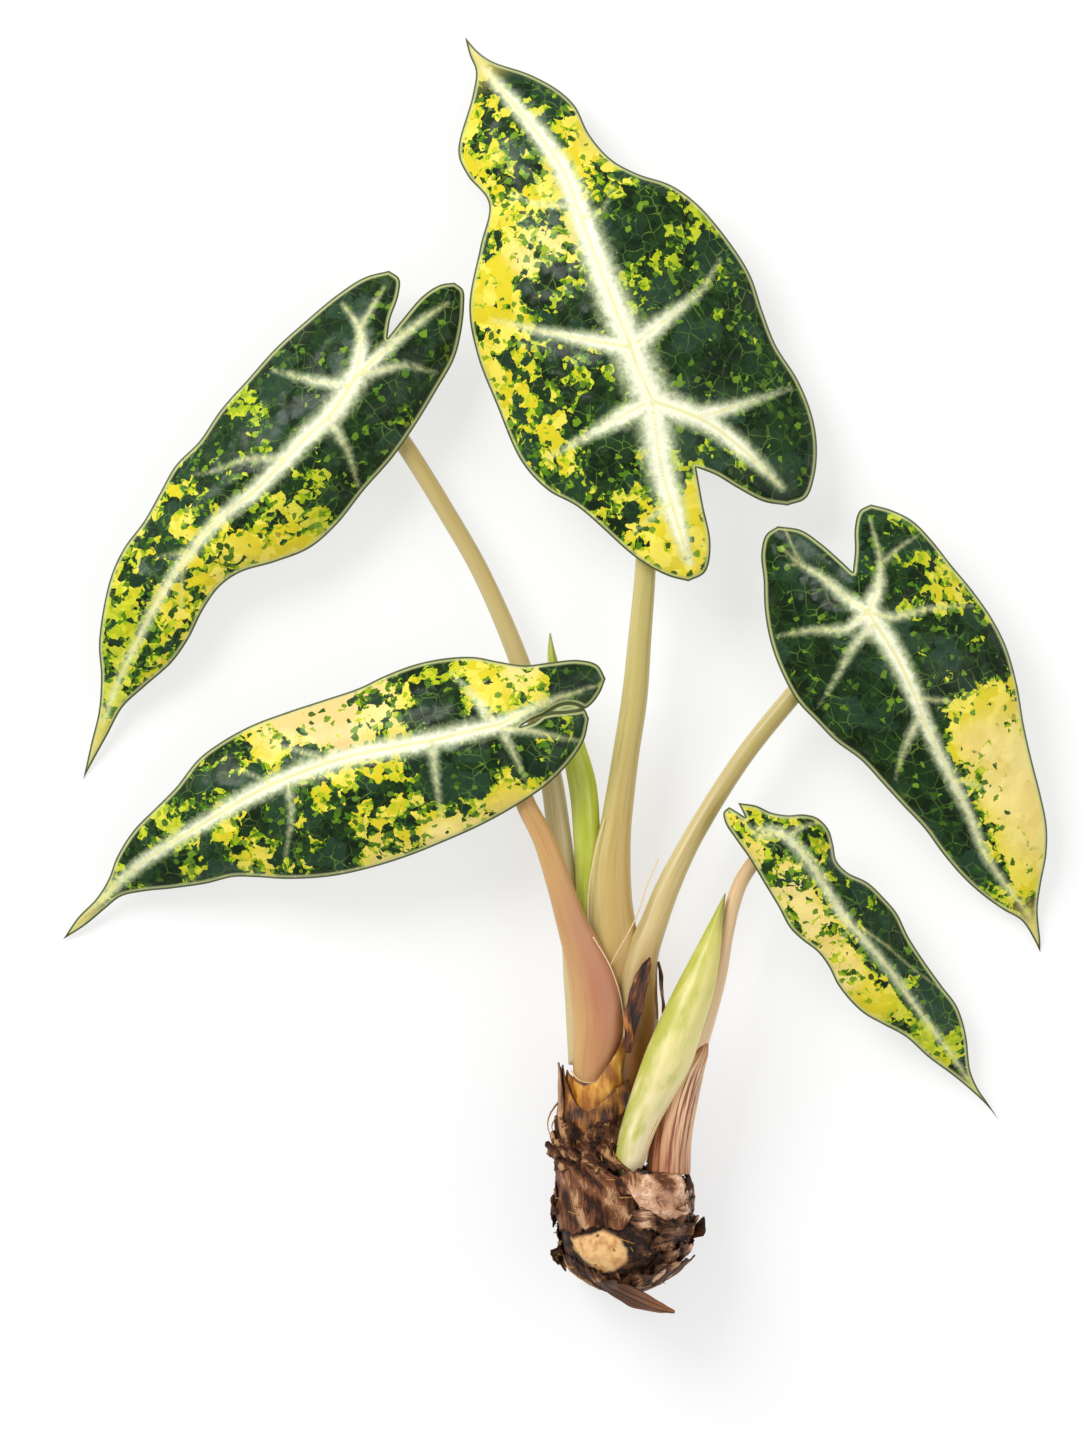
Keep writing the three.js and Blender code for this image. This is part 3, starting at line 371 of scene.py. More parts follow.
# %% Leaf outlines
LEAVES = {
  "top": {
    "puff": 3,
    "spine": [
      [-27.2, 192.2, 0.5], [-17.7, 178.8, 8], [-4.4, 159.8, 19], [8.5, 133.1, 30], [18.5, 104.1, 36],
      [26.3, 80.6, 37], [35, 69.5, 35.5], [42.3, 61.1, 33],
    ],
    "halves": [
      {
        "shoulder": 0.83,
        "margin": [
          [-25.8, 186.6, 2], [-23.9, 181.6, 4], [-25, 173.8, 6], [-29.2, 157, 9], [-26.5, 149.8, 12],
          [-19.9, 140.9, 17], [-22.5, 128, 18], [-25.8, 109.6, 19], [-23.3, 95.1, 20], [-17.7, 80.6, 22],
          [-10, 63, 25], [-2.1, 54.4, 27], [6.8, 49.4, 29], [24.7, 33.8, 31], [33.6, 28.8, 30],
            [40, 27.1, 29],
        ],
        "notch": [[44.2, 50.5, 32.5], [46.6, 38.2, 31], [45, 29.9, 29.5]],
      },
      {
        "shoulder": 0.86,
        "margin": [
          [-23.3, 187.7, 2], [-18.9, 184.6, 3.5], [-7.7, 180.5, 7], [1.2, 175.4, 10], [6.2, 170.4, 12],
          [10.2, 162.1, 15], [16.8, 154.3, 18], [24.7, 149.8, 20], [34.7, 146.4, 20], [42.5, 140.9, 20],
          [51.4, 130.8, 18], [58.7, 119.7, 16], [62.6, 108.5, 15], [66.5, 98.5, 15], [73.2, 87.9, 14],
          [77.1, 78.4, 14], [78.8, 69.5, 15], [78.2, 59.4, 17], [75.4, 52.2, 19], [69.8, 50, 20],
        ],
        "notch": [[48.1, 58.9, 31], [54.8, 55, 28], [62.6, 51.1, 24]],
      },
    ],
  },
  "upper_left": {
    "puff": 3,
    "spine": [
      [-142.7, -32.3, 0.5], [-135.1, -11.5, 7], [-129.4, 2, 12], [-122.6, 16.5, 17], [-113.3, 31, 21],
      [-92.5, 51.8, 26], [-71.7, 70.5, 29], [-59.5, 87.1, 30], [-54, 94.5, 29], [-50.2, 100.1, 27],
    ],
    "halves": [
      {
        "shoulder": 0.86,
        "margin": [
          [-139.8, -27.1, 2], [-135.1, -18.8, 4], [-130.4, -10.5, 7], [-123.7, -4.3, 9], [-115.4, 3, 11],
          [-110.2, 10.3, 13], [-106, 18.6, 15], [-100.8, 25.8, 16], [-94.6, 30, 17], [-84.2, 33.1, 17],
          [-73.8, 37.3, 17], [-65.5, 44.5, 17.5], [-57.2, 54.9, 18.5], [-48.9, 64.3, 19.5],
            [-41.6, 74.7, 19.5],
          [-35.4, 85, 19], [-30.2, 94.4, 18], [-28.1, 102.7, 17.5], [-27.3, 110, 17], [-27.6, 115, 16.5],
          [-30.2, 117.2, 16.5],
        ],
        "notch": [[-45.8, 105.8, 25], [-39.6, 113.1, 21], [-34.4, 116.5, 18]],
      },
      {
        "shoulder": 0.88,
        "margin": [
          [-140.3, -21.9, 3], [-137.7, -11.5, 6], [-137, -1.2, 8], [-137.5, 9.2, 10], [-134.1, 27.9, 12],
          [-129.9, 37.3, 13], [-123.7, 45.6, 14], [-119, 53.9, 14], [-114.3, 62.2, 14], [-107.1, 69.5, 15],
          [-100.8, 78.8, 14], [-92.5, 88.2, 14], [-84.2, 97.5, 14], [-74.9, 105.8, 15], [-65.5, 113.6, 16],
          [-57.2, 118.8, 17], [-49.9, 120.7, 18],
        ],
        "notch": [[-49.4, 105.8, 25], [-47, 113.1, 21.5], [-46.8, 118.3, 19]],
      },
    ],
  },
  "lower_left": {
    "puff": 3,
    "spine": [
      [-148.8, -80.8, 0.5], [-137.3, -70, 6], [-122.3, -56.2, 14], [-111.9, -48.1, 19], [-100.4, -40.6, 24],
      [-87.7, -34.8, 28], [-73.8, -29.7, 32], [-60, -26.2, 35], [-45, -23.3, 38], [-32.3, -20.2, 40],
      [-16, -17, 41], [-10.4, -16.4, 40.5],
    ],
    "halves": [
      {
        "shoulder": 0.88,
        "margin": [
          [-141.9, -76.4, 3], [-135.6, -71.2, 5], [-131, -67.7, 6.5], [-124.6, -66.2, 8], [-115.4, -65.2, 10],
          [-105, -63.7, 13], [-96.9, -61.7, 15], [-90, -61.7, 17], [-80.8, -62.2, 19], [-69.2, -61.6, 21],
          [-58.8, -59.7, 24], [-45, -55.6, 27], [-33.5, -51, 30], [-21.9, -45.8, 33], [-11.5, -40, 36],
          [-2.3, -33.7, 36], [4.6, -26.8, 35.5], [8.7, -20.4, 35], [10.2, -14, 35],
        ],
        "notch": [[-6, -14.8, 40.8], [-3.5, -12.9, 40.6], [1.2, -10, 39.5], [5.2, -9.5, 38],
                  [8.7, -11, 36.3]],
      },
      {
        "shoulder": 0.86,
        "margin": [
          [-144.2, -74.1, 3], [-138.5, -68.3, 5], [-134.8, -62.5, 7], [-132.1, -55.6, 9], [-126.9, -47.5, 11],
          [-120, -40.6, 13], [-114.2, -34.8, 15], [-107.3, -26.2, 17], [-100.4, -21, 18], [-91.2, -16, 20],
          [-80.8, -12.1, 22], [-69.2, -8.3, 24], [-58.8, -4.8, 25], [-50.8, -1, 26], [-41.5, 2.4, 27],
          [-32.3, 4.2, 28], [-24.2, 4.5, 29], [-17.3, 3.2, 31], [-9.2, 2, 32], [-1.2, 2.9, 31],
          [6.9, 3.6, 30], [12.7, 2.1, 29], [15.2, -2, 28],
        ],
        "notch": [[-6, -13.8, 38.8], [-1, -12.4, 36.2], [4, -12, 33.2], [9.8, -10.6, 30], [13.3, -6.6, 28.5]],
      },
    ],
  },
  "right": {
    "puff": 3,
    "spine": [
      [146.8, -84.7, 0.5], [143.5, -74.1, 5], [136.3, -64.5, 10], [129.5, -53.9, 15], [123.8, -39.5, 20],
      [117, -26.1, 25], [109.8, -12.6, 29], [103.6, 1.8, 32], [94.1, 17.2, 34], [91.5, 23.5, 33],
        [89.1, 29.9, 31.5],
    ],
    "halves": [
      {
        "shoulder": 0.84,
        "margin": [
          [146.8, -80.9, 1.5], [146.2, -76.1, 3], [145.9, -71.3, 4], [146.8, -63.6, 6], [148.3, -54.9, 8],
          [148.3, -46.3, 10], [146.3, -36.6, 12], [143.5, -26, 14], [141.1, -15.5, 15], [139.1, -3.9, 16],
          [135.8, 7.6, 17], [131.4, 16.3, 17.5], [125.7, 24.4, 18], [118.9, 32.6, 18.5], [113.2, 39.8, 18.5],
          [107.4, 45.6, 18.5], [100.7, 48.9, 19], [94.9, 50.4, 20],
        ],
        "notch": [[89.8, 36.4, 29], [89.9, 43.2, 25.5], [91.5, 48.5, 22]],
      },
      {
        "shoulder": 0.84,
        "margin": [
          [144.9, -80.9, 2], [141.1, -75.1, 4], [135.3, -71.7, 6], [128.6, -66.9, 8], [122.8, -61.6, 10],
          [117, -54.9, 12], [111.3, -47.2, 14], [104.5, -40, 16], [98.8, -33.8, 17], [92, -26.5, 18],
          [84.3, -20.8, 19], [78.6, -15, 20], [72.8, -8.8, 21.5], [68, -0.1, 21.5], [64.6, 9.5, 20],
          [63, 19.1, 19], [62.7, 27.8, 18], [62, 35.5, 17.5], [63.4, 41.3, 17.5], [67, 43.9, 18],
        ],
        "notch": [[85.3, 33.6, 29.5], [79.5, 38.8, 25.5], [73.8, 42.7, 21.5]],
      },
    ],
  },
  "small": {
    "puff": 2,
    "spine": [
      [134.3, -135.3, 0.5], [126.5, -125.2, 5], [121.7, -119.6, 8], [114.7, -111.3, 12], [108.5, -101.6, 16],
      [102.3, -92.6, 20], [94.7, -83.6, 24], [87.8, -74.6, 27], [80.8, -66.3, 30], [74.6, -58, 32.5],
      [66.3, -49.7, 34.5], [61, -46, 34.5], [56.8, -43.4, 34],
    ],
    "halves": [
      {
        "shoulder": 0.9,
        "margin": [
          [130.7, -130, 3], [127.5, -125.2, 4], [125.5, -120.3, 5], [124.8, -115.5, 6], [124.3, -110.6, 7],
          [123, -105.1, 8], [121, -100.2, 9], [116.8, -94.7, 10.5], [111.3, -87.1, 12], [106.4, -79.5, 13.5],
          [103, -72.6, 14.5], [98.8, -67.7, 16], [94, -63.2, 18], [87.8, -60.1, 20], [84.6, -56.6, 21],
          [83.6, -51.8, 21.5], [82.2, -47.3, 22], [78.8, -43.8, 23], [74.6, -42.7, 24.5], [69.8, -42.9, 26.5],
          [64.9, -42.1, 28], [60.1, -40, 29.5], [54.8, -39.2, 30.5],
        ],
        "notch": [[56, -41.6, 32.4]],
      },
      {
        "shoulder": 0.95,
        "margin": [
          [130, -130.3, 3], [124.4, -125.2, 4], [119.6, -121.3, 6], [112.7, -116.2, 8], [105.7, -109.9, 11],
          [98.8, -106.1, 13], [93.3, -103, 15], [89.1, -99.2, 17], [85, -94, 19], [82.2, -88.5, 21],
          [78.8, -84, 23], [73.9, -80.2, 24], [70.4, -76.7, 25], [67, -70.5, 27], [62.8, -63.6, 30],
          [58, -55.6, 32], [53.8, -49.7, 33], [51.1, -45.6, 33], [50.4, -42.1, 32.5], [52.1, -40.4, 32.5],
        ],
        "notch": [[54.7, -42, 33.6]],
      },
    ],
  },
}

# %% Veins
VEINS = {
    "top": [
        [(-27, 192, 0.6), (-24, 186, 1.6), (-17.9, 177.8, 2), (-7.8, 165.5, 2.6), (2.2, 151, 3.4),
         (8.9, 133.2, 4),
         (14.5, 117.6, 4.4), (21.2, 100.8, 5), (25.7, 88.6, 5.6), (29, 81, 6)],
        [(29, 81, 5), (32, 60, 4.4), (35, 50, 3.6), (40, 33, 1.6)],
        [(29, 81, 5), (45, 75, 3.2), (57, 66, 2.6), (68, 55.5, 1.2)],
        [(43.5, 76.5, 3), (54.6, 79.7, 2), (71, 85.5, 0.7)],
        [(24, 98, 3.4), (36.8, 108.6, 2), (44.6, 115.3, 1.2), (49.6, 124.3, 0.6)],
        [(22, 97, 3.2), (-1.1, 101.4, 1.8), (-17.9, 105.5, 0.8)],
        [(27, 80, 3.6), (10, 70.7, 1.8), (-2, 64.2, 0.8)],
        [(6, 140, 1.6), (-4, 140, 1), (-13.4, 143.3, 0.5)],
        [(8, 136, 1.6), (13.4, 137.6, 0.9), (17.8, 146.5, 0.4)],
        [(34, 50, 1.8), (26, 44, 0.7), (22, 40, 0.4)],
    ],
    "upper_left": [
        [(-142.7, -32, 0.5), (-135.1, -11.5, 1.2), (-131.4, -2.1, 1.4), (-124.7, 11.4, 1.6),
         (-117.4, 24.9, 1.8),
         (-110.1, 35.3, 2), (-99.8, 46.7, 2.2), (-90.4, 54, 2.5), (-82.1, 62.3, 2.8), (-74.8, 70.1, 3.1),
         (-66.5, 77.9, 3.6), (-60, 88, 3.8)],
        [(-60, 88, 3.2), (-58.2, 96.6, 2.3), (-58.7, 102.8, 1.6), (-63.9, 110.6, 0.7)],
        [(-58.7, 102.8, 1.5), (-51.5, 115.3, 0.6)],
        [(-60, 88, 3), (-52, 95.5, 2.2), (-39.5, 105.9, 1.4), (-32, 111, 0.5)],
        [(-62, 85.6, 2.2), (-75.8, 88.2, 1.4), (-84.7, 90.8, 0.6)],
        [(-81, 63.8, 1.8), (-92.5, 63.8, 1.1), (-102.9, 60.2, 0.7), (-110.1, 59.1, 0.4)],
        [(-58, 89, 2.2), (-44.7, 91.9, 1.2), (-35.4, 89.8, 0.5)],
        [(-68, 76, 2.2), (-62.3, 66.4, 1.2), (-59.2, 56, 0.5)],
        [(-112, 33, 1.1), (-112.2, 17.6, 0.4)], [(-110, 36, 1.2), (-120.5, 34.3, 0.4)],
    ],
    "lower_left": [
        [(-148.8, -80.7, 0.5), (-135, -67, 1.6), (-125.8, -58.4, 2), (-115.4, -51.5, 2.2), (-105, -45.1, 2.4),
         (-94.6, -38.8, 2.7), (-83.1, -33, 2.9), (-71.5, -28.4, 3), (-60, -24.9, 3), (-48.5, -22.6, 3),
         (-36.9, -20.5, 3), (-25.4, -17.8, 2.9), (-16, -15.5, 2.6)],
        [(-16, -15.5, 2.4), (-9.2, -12.2, 2), (0, -8.2, 1.3), (12, -4.2, 0.5)],
        [(-16.2, -16.8, 2), (-9.2, -17.4, 1.4), (0, -19.2, 0.9), (9.2, -20.9, 0.4)],
        [(-16, -17, 1.8), (-11.5, -26.1, 1), (-8.7, -33, 0.5)],
        [(-37, -21, 2), (-35.2, -34.2, 1.1), (-34, -44, 0.5)],
        [(-80, -34, 1.6), (-79, -43.4, 1), (-80.8, -55, 0.5)],
        [(-19, -15, 2), (-24.2, -7.6, 1.4), (-31.2, -0.2, 0.6)],
        [(-68, -26.5, 1.4), (-76.2, -23.8, 0.9), (-86, -21, 0.4)],
        [(-84.2, -33.6, 1.2), (-96, -28.8, 0.4)],
    ],
    "right": [
        [(146.8, -84.7, 0.4), (143.4, -74, 0.9), (135.3, -63.4, 1.3), (129.5, -54.8, 1.5),
         (124.7, -43.3, 1.7),
         (118.9, -31.7, 2), (112.2, -18.3, 2.2), (108.4, -8.7, 2.5), (102.6, 3.8, 2.9), (97.8, 11.5, 3.3),
         (93.5, 18, 3.8)],
        [(93.5, 18, 2.8), (87.2, 22.1, 2), (79.5, 28.8, 1.4), (73.7, 32.2, 1), (68, 37.5, 0.4)],
        [(73.7, 32.2, 0.9), (69, 43, 0.3)], [(73.7, 32.2, 0.8), (69.9, 32.2, 0.3)],
        [(93.5, 18, 2.6), (87.2, 13, 1.8), (76.6, 12.5, 1.2), (67, 10.8, 0.5)],
        [(95, 14, 2.4), (90.1, 8.7, 1.7), (85.3, 0, 1.1), (79, -10.5, 0.4)],
        [(109.5, -13, 1.8), (104.5, -24, 1.1), (102.4, -32.5, 0.4)],
        [(93.5, 18, 2.8), (96.8, 26, 2), (97.3, 33.7, 1.2), (94.4, 46.2, 0.4)],
        [(97.2, 32, 1), (103.6, 37.5, 0.8), (109.5, 41.3, 0.3)],
        [(93.5, 18, 2.4), (100.7, 16.3, 1.6), (113.2, 19.2, 1), (125.5, 19.9, 0.4)],
        [(109, -8, 1.4), (119.5, -8.8, 0.4)], [(121, -32.5, 1.1), (133, -35.8, 0.4)],
    ],
    "small": [
        [(134.3, -135.3, 0.4), (124.4, -122.4, 0.8), (119.6, -115.4, 1), (113.4, -107.1, 1.2),
         (107.2, -98.8, 1.4),
         (100.2, -89.1, 1.5), (92.6, -80.1, 1.7), (86.4, -73.2, 1.8), (80.9, -64.2, 1.8), (75.3, -55.9, 1.9),
         (69.8, -49.7, 1.9), (66.3, -47.9, 1.8), (60.8, -46.9, 1.2)],
        [(66, -48.5, 1.4), (60.8, -49, 1), (54, -41.5, 0.4)],
        [(70, -49, 1.4), (74.6, -46.2, 0.9), (78.6, -45.3, 0.4)],
        [(89, -76, 1), (85.2, -81.5, 0.4)],
        [(90, -76, 0.9), (98.8, -81.5, 0.5), (105.8, -87.7, 0.4), (116, -95.4, 0.3)],
    ],
}

# %% Tints
TINTS = {
    "top": [
        (-24, 182, 8, 0.42, 0.3), (-12, 176, 8, 0.45, 0.35), (0, 172, 7, 0.35, 0.2), (-25, 165, 8, 0.62, 0.5),
        (-26, 152, 7, 0.95, 0.45), (-16, 155, 7, 0.5, 0.3), (11, 160, 5, 1.15, 0.62), (6, 166, 4, 1.1, 0.5),
        (12, 150, 7, 0.7, 0.45), (-8, 140, 8, 0.6, 0.45), (-18, 134, 7, 0.62, 0.5), (-5, 127, 8, 0.85, 0.75),
        (-21, 116, 6, 0.95, 0.4), (4, 111, 9, 0.1, 0.2), (-10, 98, 8, 0.6, 0.5), (9, 90, 9, 0.22, 0.3),
        (-8, 80, 8, 0.6, 0.4), (16, 70, 8, 0.2, 0.3), (0, 66, 6, 0.62, 0.4), (18, 52, 8, 0.35, 0.3),
        (12, 46, 5, 0.7, 0.4), (28, 41, 7, 0.8, 0.5), (38, 31, 8, 0.95, 0.55), (42, 50, 6, 0.85, 0.4),
        (39, 64, 5, 0.5, 0.2), (24, 134, 10, 0.3, 0.2), (40, 132, 10, 0.32, 0.15), (50, 112, 9, 0.16, 0.1),
        (34, 115, 8, 0.2, 0.15), (58, 100, 9, 0.0, 0.1), (45, 92, 10, -0.02, 0.1), (70, 72, 12, -0.16, 0.1),
        (68, 55, 7, 0.15, 0.1), (54, 60, 6, 0.35, 0.1),
    ],
    "upper_left": [
        (-140, -22, 9, 0.75, 0.5), (-134, -6, 8, 0.6, 0.2), (-128, 4, 8, 0.6, 0.3), (-134, 12, 9, 0.5, 0.1),
        (-122, 4, 7, 0.7, 0.4), (-124, 22, 9, 0.6, 0.3), (-112, 16, 9, 0.65, 0.45), (-126, 38, 9, 0.6, 0.35),
        (-112, 48, 9, 0.6, 0.35), (-100, 34, 8, 0.75, 0.55), (-92, 32, 8, 1.0, 0.6), (-80, 38, 7, 0.9, 0.5),
        (-84, 48, 8, 0.5, 0.35), (-72, 50, 9, 0.5, 0.2), (-100, 56, 8, 0.4, 0.2), (-98, 68, 9, 0.2, 0.15),
        (-92, 77, 6, 0.5, 0.1), (-80, 82, 9, 0.08, 0.1), (-64, 64, 8, 0.22, 0.2), (-56, 70, 8, 0.16, 0.2),
        (-48, 80, 9, 0.1, 0.15), (-38, 96, 10, 0.02, 0.1), (-70, 98, 10, -0.1, 0.1), (-56, 110, 9, -0.1, 0.1),
        (-34, 110, 8, -0.1, 0.1),
    ],
    "lower_left": [
        (-140, -73, 8, 0.5, 0.4), (-128, -60, 8, 0.5, 0.2), (-120, -47, 8, 0.5, 0.2),
        (-116, -60, 8, 0.15, 0.2),
        (-106, -34, 9, 0.4, 0.2), (-100, -56, 8, 0.35, 0.3), (-96, -48, 7, 0.7, 0.5), (-92, -57, 6, 1.0, 0.6),
        (-98, -36, 8, 0.15, 0.2), (-92, -22, 8, 0.6, 0.5), (-80, -18, 9, 0.95, 0.95),
        (-66, -15, 8, 1.0, 0.95),
        (-52, -8, 7, 0.9, 0.9), (-78, -26, 6, 0.2, 0.2), (-54, -16, 6, 0.6, 0.6), (-42, -6, 6, 0.35, 0.3),
        (-34, -12, 7, 0.0, 0.2), (-34, 1, 6, 0.45, 0.2), (-24, -2, 6, 0.95, 0.4), (-18, -6, 6, 0.8, 0.5),
        (-8, -1, 7, 1.0, 0.85), (-6, -7, 5, 0.4, 0.4), (4, -2, 8, -0.05, 0.1), (12, -3, 7, 0.1, 0.1),
        (-74, -44, 9, 0.4, 0.4), (-66, -55, 8, 0.15, 0.3), (-58, -38, 9, 0.45, 0.5),
        (-52, -52, 6, 0.95, 0.75),
        (-46, -44, 8, 0.4, 0.4), (-36, -50, 5, 1.0, 0.8), (-24, -42, 6, 0.75, 0.7), (-28, -30, 8, 0.02, 0.2),
        (-14, -36, 6, 0.9, 0.7), (-18, -26, 8, 0.15, 0.2), (-2, -26, 8, 0.2, 0.3), (4, -16, 7, 0.18, 0.2),
    ],
    "right": [
        (146, -80, 8, 0.7, 0.4), (140, -70, 7, 0.75, 0.4), (134, -66, 6, 0.35, 0.2),
        (122, -54, 9, -0.12, 0.1),
        (106, -34, 10, -0.16, 0.1), (90, -16, 11, -0.16, 0.1), (72, 6, 11, -0.16, 0.1),
        (78, 24, 10, -0.16, 0.1),
        (70, 38, 9, -0.16, 0.1), (100, -6, 8, -0.08, 0.1), (86, 30, 6, 0.05, 0.1), (98, 40, 8, 0.2, 0.1),
        (106, 38, 7, 0.3, 0.2), (110, 28, 7, 0.45, 0.3), (118, 24, 6, 0.6, 0.4), (126, 18, 6, 0.4, 0.3),
        (108, 10, 7, 0.35, 0.2), (122, 8, 8, 0.08, 0.1), (133, 5, 7, 0.02, 0.1), (118, -4, 7, 0.3, 0.3),
        (130, -8, 7, 0.8, 0.5), (136, -12, 7, 1.1, 0.62), (132, -20, 8, 1.2, 0.74), (142, -26, 8, 1.2, 0.76),
        (128, -32, 6, 0.8, 0.66), (140, -42, 9, 1.2, 0.76), (145, -56, 8, 1.15, 0.7), (133, -48, 6, 0.6, 0.6),
        (140, -62, 6, 0.7, 0.5),
    ],
    "small": [
        (132, -132, 7, 0.8, 0.5), (122, -122, 7, 0.7, 0.3), (112, -112, 7, 0.75, 0.2),
        (102, -103, 7, 0.8, 0.3),
        (96, -97, 6, 1.1, 0.45), (88, -90, 7, 0.95, 0.76), (82, -80, 7, 0.88, 0.78), (74, -74, 7, 0.85, 0.78),
        (72, -62, 8, 0.75, 0.76), (62, -54, 7, 0.6, 0.7), (54, -45, 6, 0.9, 0.6), (60, -43, 6, 0.4, 0.4),
        (74, -48, 7, 0.4, 0.4), (84, -62, 7, 0.34, 0.3), (94, -70, 8, 0.12, 0.1), (104, -82, 9, -0.14, 0.1),
        (114, -96, 9, 0.1, 0.1), (121, -110, 8, 0.3, 0.1), (110, -100, 6, 0.42, 0.15),
        (92, -76, 6, 0.45, 0.4),
    ],
}

# %% [markdown]
# A point's whiteness depends on how far it is from the nearest vein, as a share of that vein's width there.
# So each
# vein is cut into short straight pieces, and for every point of the leaf the nearest place on each piece is
# found.

# %% Distances


def nearest(points, line, width=None):
    """Distance in plan from each point to a line, and the same as 1 - distance / width where the width is
    given."""
    a, b = line[:-1, :2], line[1:, :2]
    step_ab = b - a
    square = np.maximum((step_ab**2).sum(1), 1e-9)
    away = points[:, None, :2] - a[None]
    t = np.clip((away * step_ab).sum(2) / square, 0, 1)
    distance = np.sqrt(((away - t[..., None] * step_ab) ** 2).sum(2))
    if width is None:
        return distance.min(1), None
    across = width[:-1] + (width[1:] - width[:-1]) * t
    faded = (1.15 - 0.8 * distance / across) * np.minimum(1, 0.08 + across / 3.0)
    return distance.min(1), faded.max(1)


def vein_fields(points, veins):
    """Greatest whiteness and least distance over all the veins of a leaf."""
    white, core = np.full(len(points), -9.0), np.full(len(points), 99.0)
    for vein in veins:
        line = dense_curve(vein, 5)
        distance, share = nearest(points, line, np.maximum(line[:, 2], 0.3))
        white, core = np.maximum(white, share), np.minimum(core, distance)
    return white, core


def tint_fields(points, tints):
    """Light share and warmth: the average of the tints, each weighted by exp(-(distance / reach) squared)."""
    tints = np.asarray(tints, float)
    square = ((points[:, None, :2] - tints[None, :, :2]) ** 2).sum(2)
    weight = np.exp(-square / tints[:, 2] ** 2) + 1e-12
    weight /= weight.sum(1, keepdims=True)
    return weight @ tints[:, 3], weight @ tints[:, 4]


# %% Blade surface
ROWS, COLUMNS, SPINE_SHARE = 176, 44, 0.75


def half_blade(leaf, half):
    """Half a blade as a grid: inner line * (1 - v) + margin * v, plus a puff of height * 4v(1 - v)."""
    u = np.linspace(0, 1, ROWS + 1)
    beyond = np.clip((u - SPINE_SHARE) / (1 - SPINE_SHARE), 0, 1)
    before = np.clip(u / SPINE_SHARE, 0, 1)
    spine = along(leaf["spine"], before)
    notch = along([leaf["spine"][-1], *half["notch"], half["margin"][-1]], beyond)
    inner = np.where((u <= SPINE_SHARE)[:, None], spine, notch)
    reached = before * half["shoulder"] + beyond * (1 - half["shoulder"])
    outer = along([leaf["spine"][0], *half["margin"]], reached)
    v = np.linspace(0, 1, COLUMNS + 1)[None, :, None]
    grid = inner[:, None] * (1 - v) + outer[:, None] * v
    span = np.minimum(1, np.linalg.norm(outer - inner, axis=1) / 30)[:, None]
    grid[..., 2] += leaf["puff"] * span * 4 * v[..., 0] * (1 - v[..., 0])
    return grid, inner, outer


def make_blade(name, leaf):
    """Both halves, top and underside, with the tissue quilted up between the veins and a midrib below."""
    points, quads, fields = [], [], {key: [] for key in ("vein", "core", "light", "warm", "margin", "tip",
                                                         "under")}
    halves = [half_blade(leaf, half) for half in leaf["halves"]]
    rims = [rim for _, inner, outer in halves for rim in (outer, inner[int(ROWS * SPINE_SHARE) :])]
    midrib = dense_curve(leaf["spine"], 8)
    first = 0
    for side, (grid, inner, outer) in enumerate(halves):
        flat = grid.reshape(-1, 3)
        white, core = vein_fields(flat, VEINS[name])
        light, warm = tint_fields(flat, TINTS[name])
        margin = np.min([nearest(flat, rim)[0] for rim in rims], axis=0)
        tip = np.linalg.norm(flat[:, :2] - np.array(leaf["spine"][0][:2]), axis=1)
        from_midrib = nearest(flat, midrib)[0]
        fade = np.clip(margin / 4, 0, 1)
        relief = fade * (1.0 * (1 - np.exp(-((core / 5) ** 2))) - 0.35)
        ripple = 0.35 * np.sin(flat[:, 1] / 6.5 + flat[:, 0] / 9) * np.exp(-((margin / 6) ** 2))
        body = np.clip(margin / 1.2, 0.25, 1) * 0.35
        for under in (0, 1):
            skin = flat.copy()
            skin[:, 2] += relief + ripple + (body if not under else -body)
            if under:
                skin[:, 2] -= fade * 0.9 * np.exp(-((from_midrib / 1.5) ** 2))
            points.append(skin)
            quads.append(grid_quads(ROWS + 1, COLUMNS + 1, first + under * len(flat),
                                    flip=bool(under) != (side == 0)))
            for key, value in zip(fields, (white, core, light, warm, margin, tip,
                                           np.full(len(flat), float(under)))):
                fields[key].append(value)
        index = first + np.arange(len(flat)).reshape(ROWS + 1, COLUMNS + 1)
        walls = [index[:, -1], index[int(ROWS * SPINE_SHARE) :, 0]]
        for wall, turned in zip(walls, (side == 0, side == 1)):
            edge = np.column_stack([wall[:-1], wall[1:], wall[1:] + len(flat), wall[:-1] + len(flat)])
            quads.append(edge[:, ::-1] if turned else edge)
        first += 2 * len(flat)
    fields = {key: np.concatenate(value) for key, value in fields.items()}
    return make_piece(f"leaf_{name}", f"blade_{name}", np.vstack(points), np.vstack(quads),
                      fields,
                      material=leaf_skin)


for name, leaf in LEAVES.items():
    blade = make_blade(name, leaf)
    print(blade.name, len(blade.data.polygons), "faces")

# %% [markdown]
# ## Leaf stalks
# A leaf stalk is round, a little flattened where its base widens into a sheath, and finely ribbed lengthwise.
# A ring
# of points is carried along a smooth path, with its width and depth changing on the way.

# %% Stalk surface


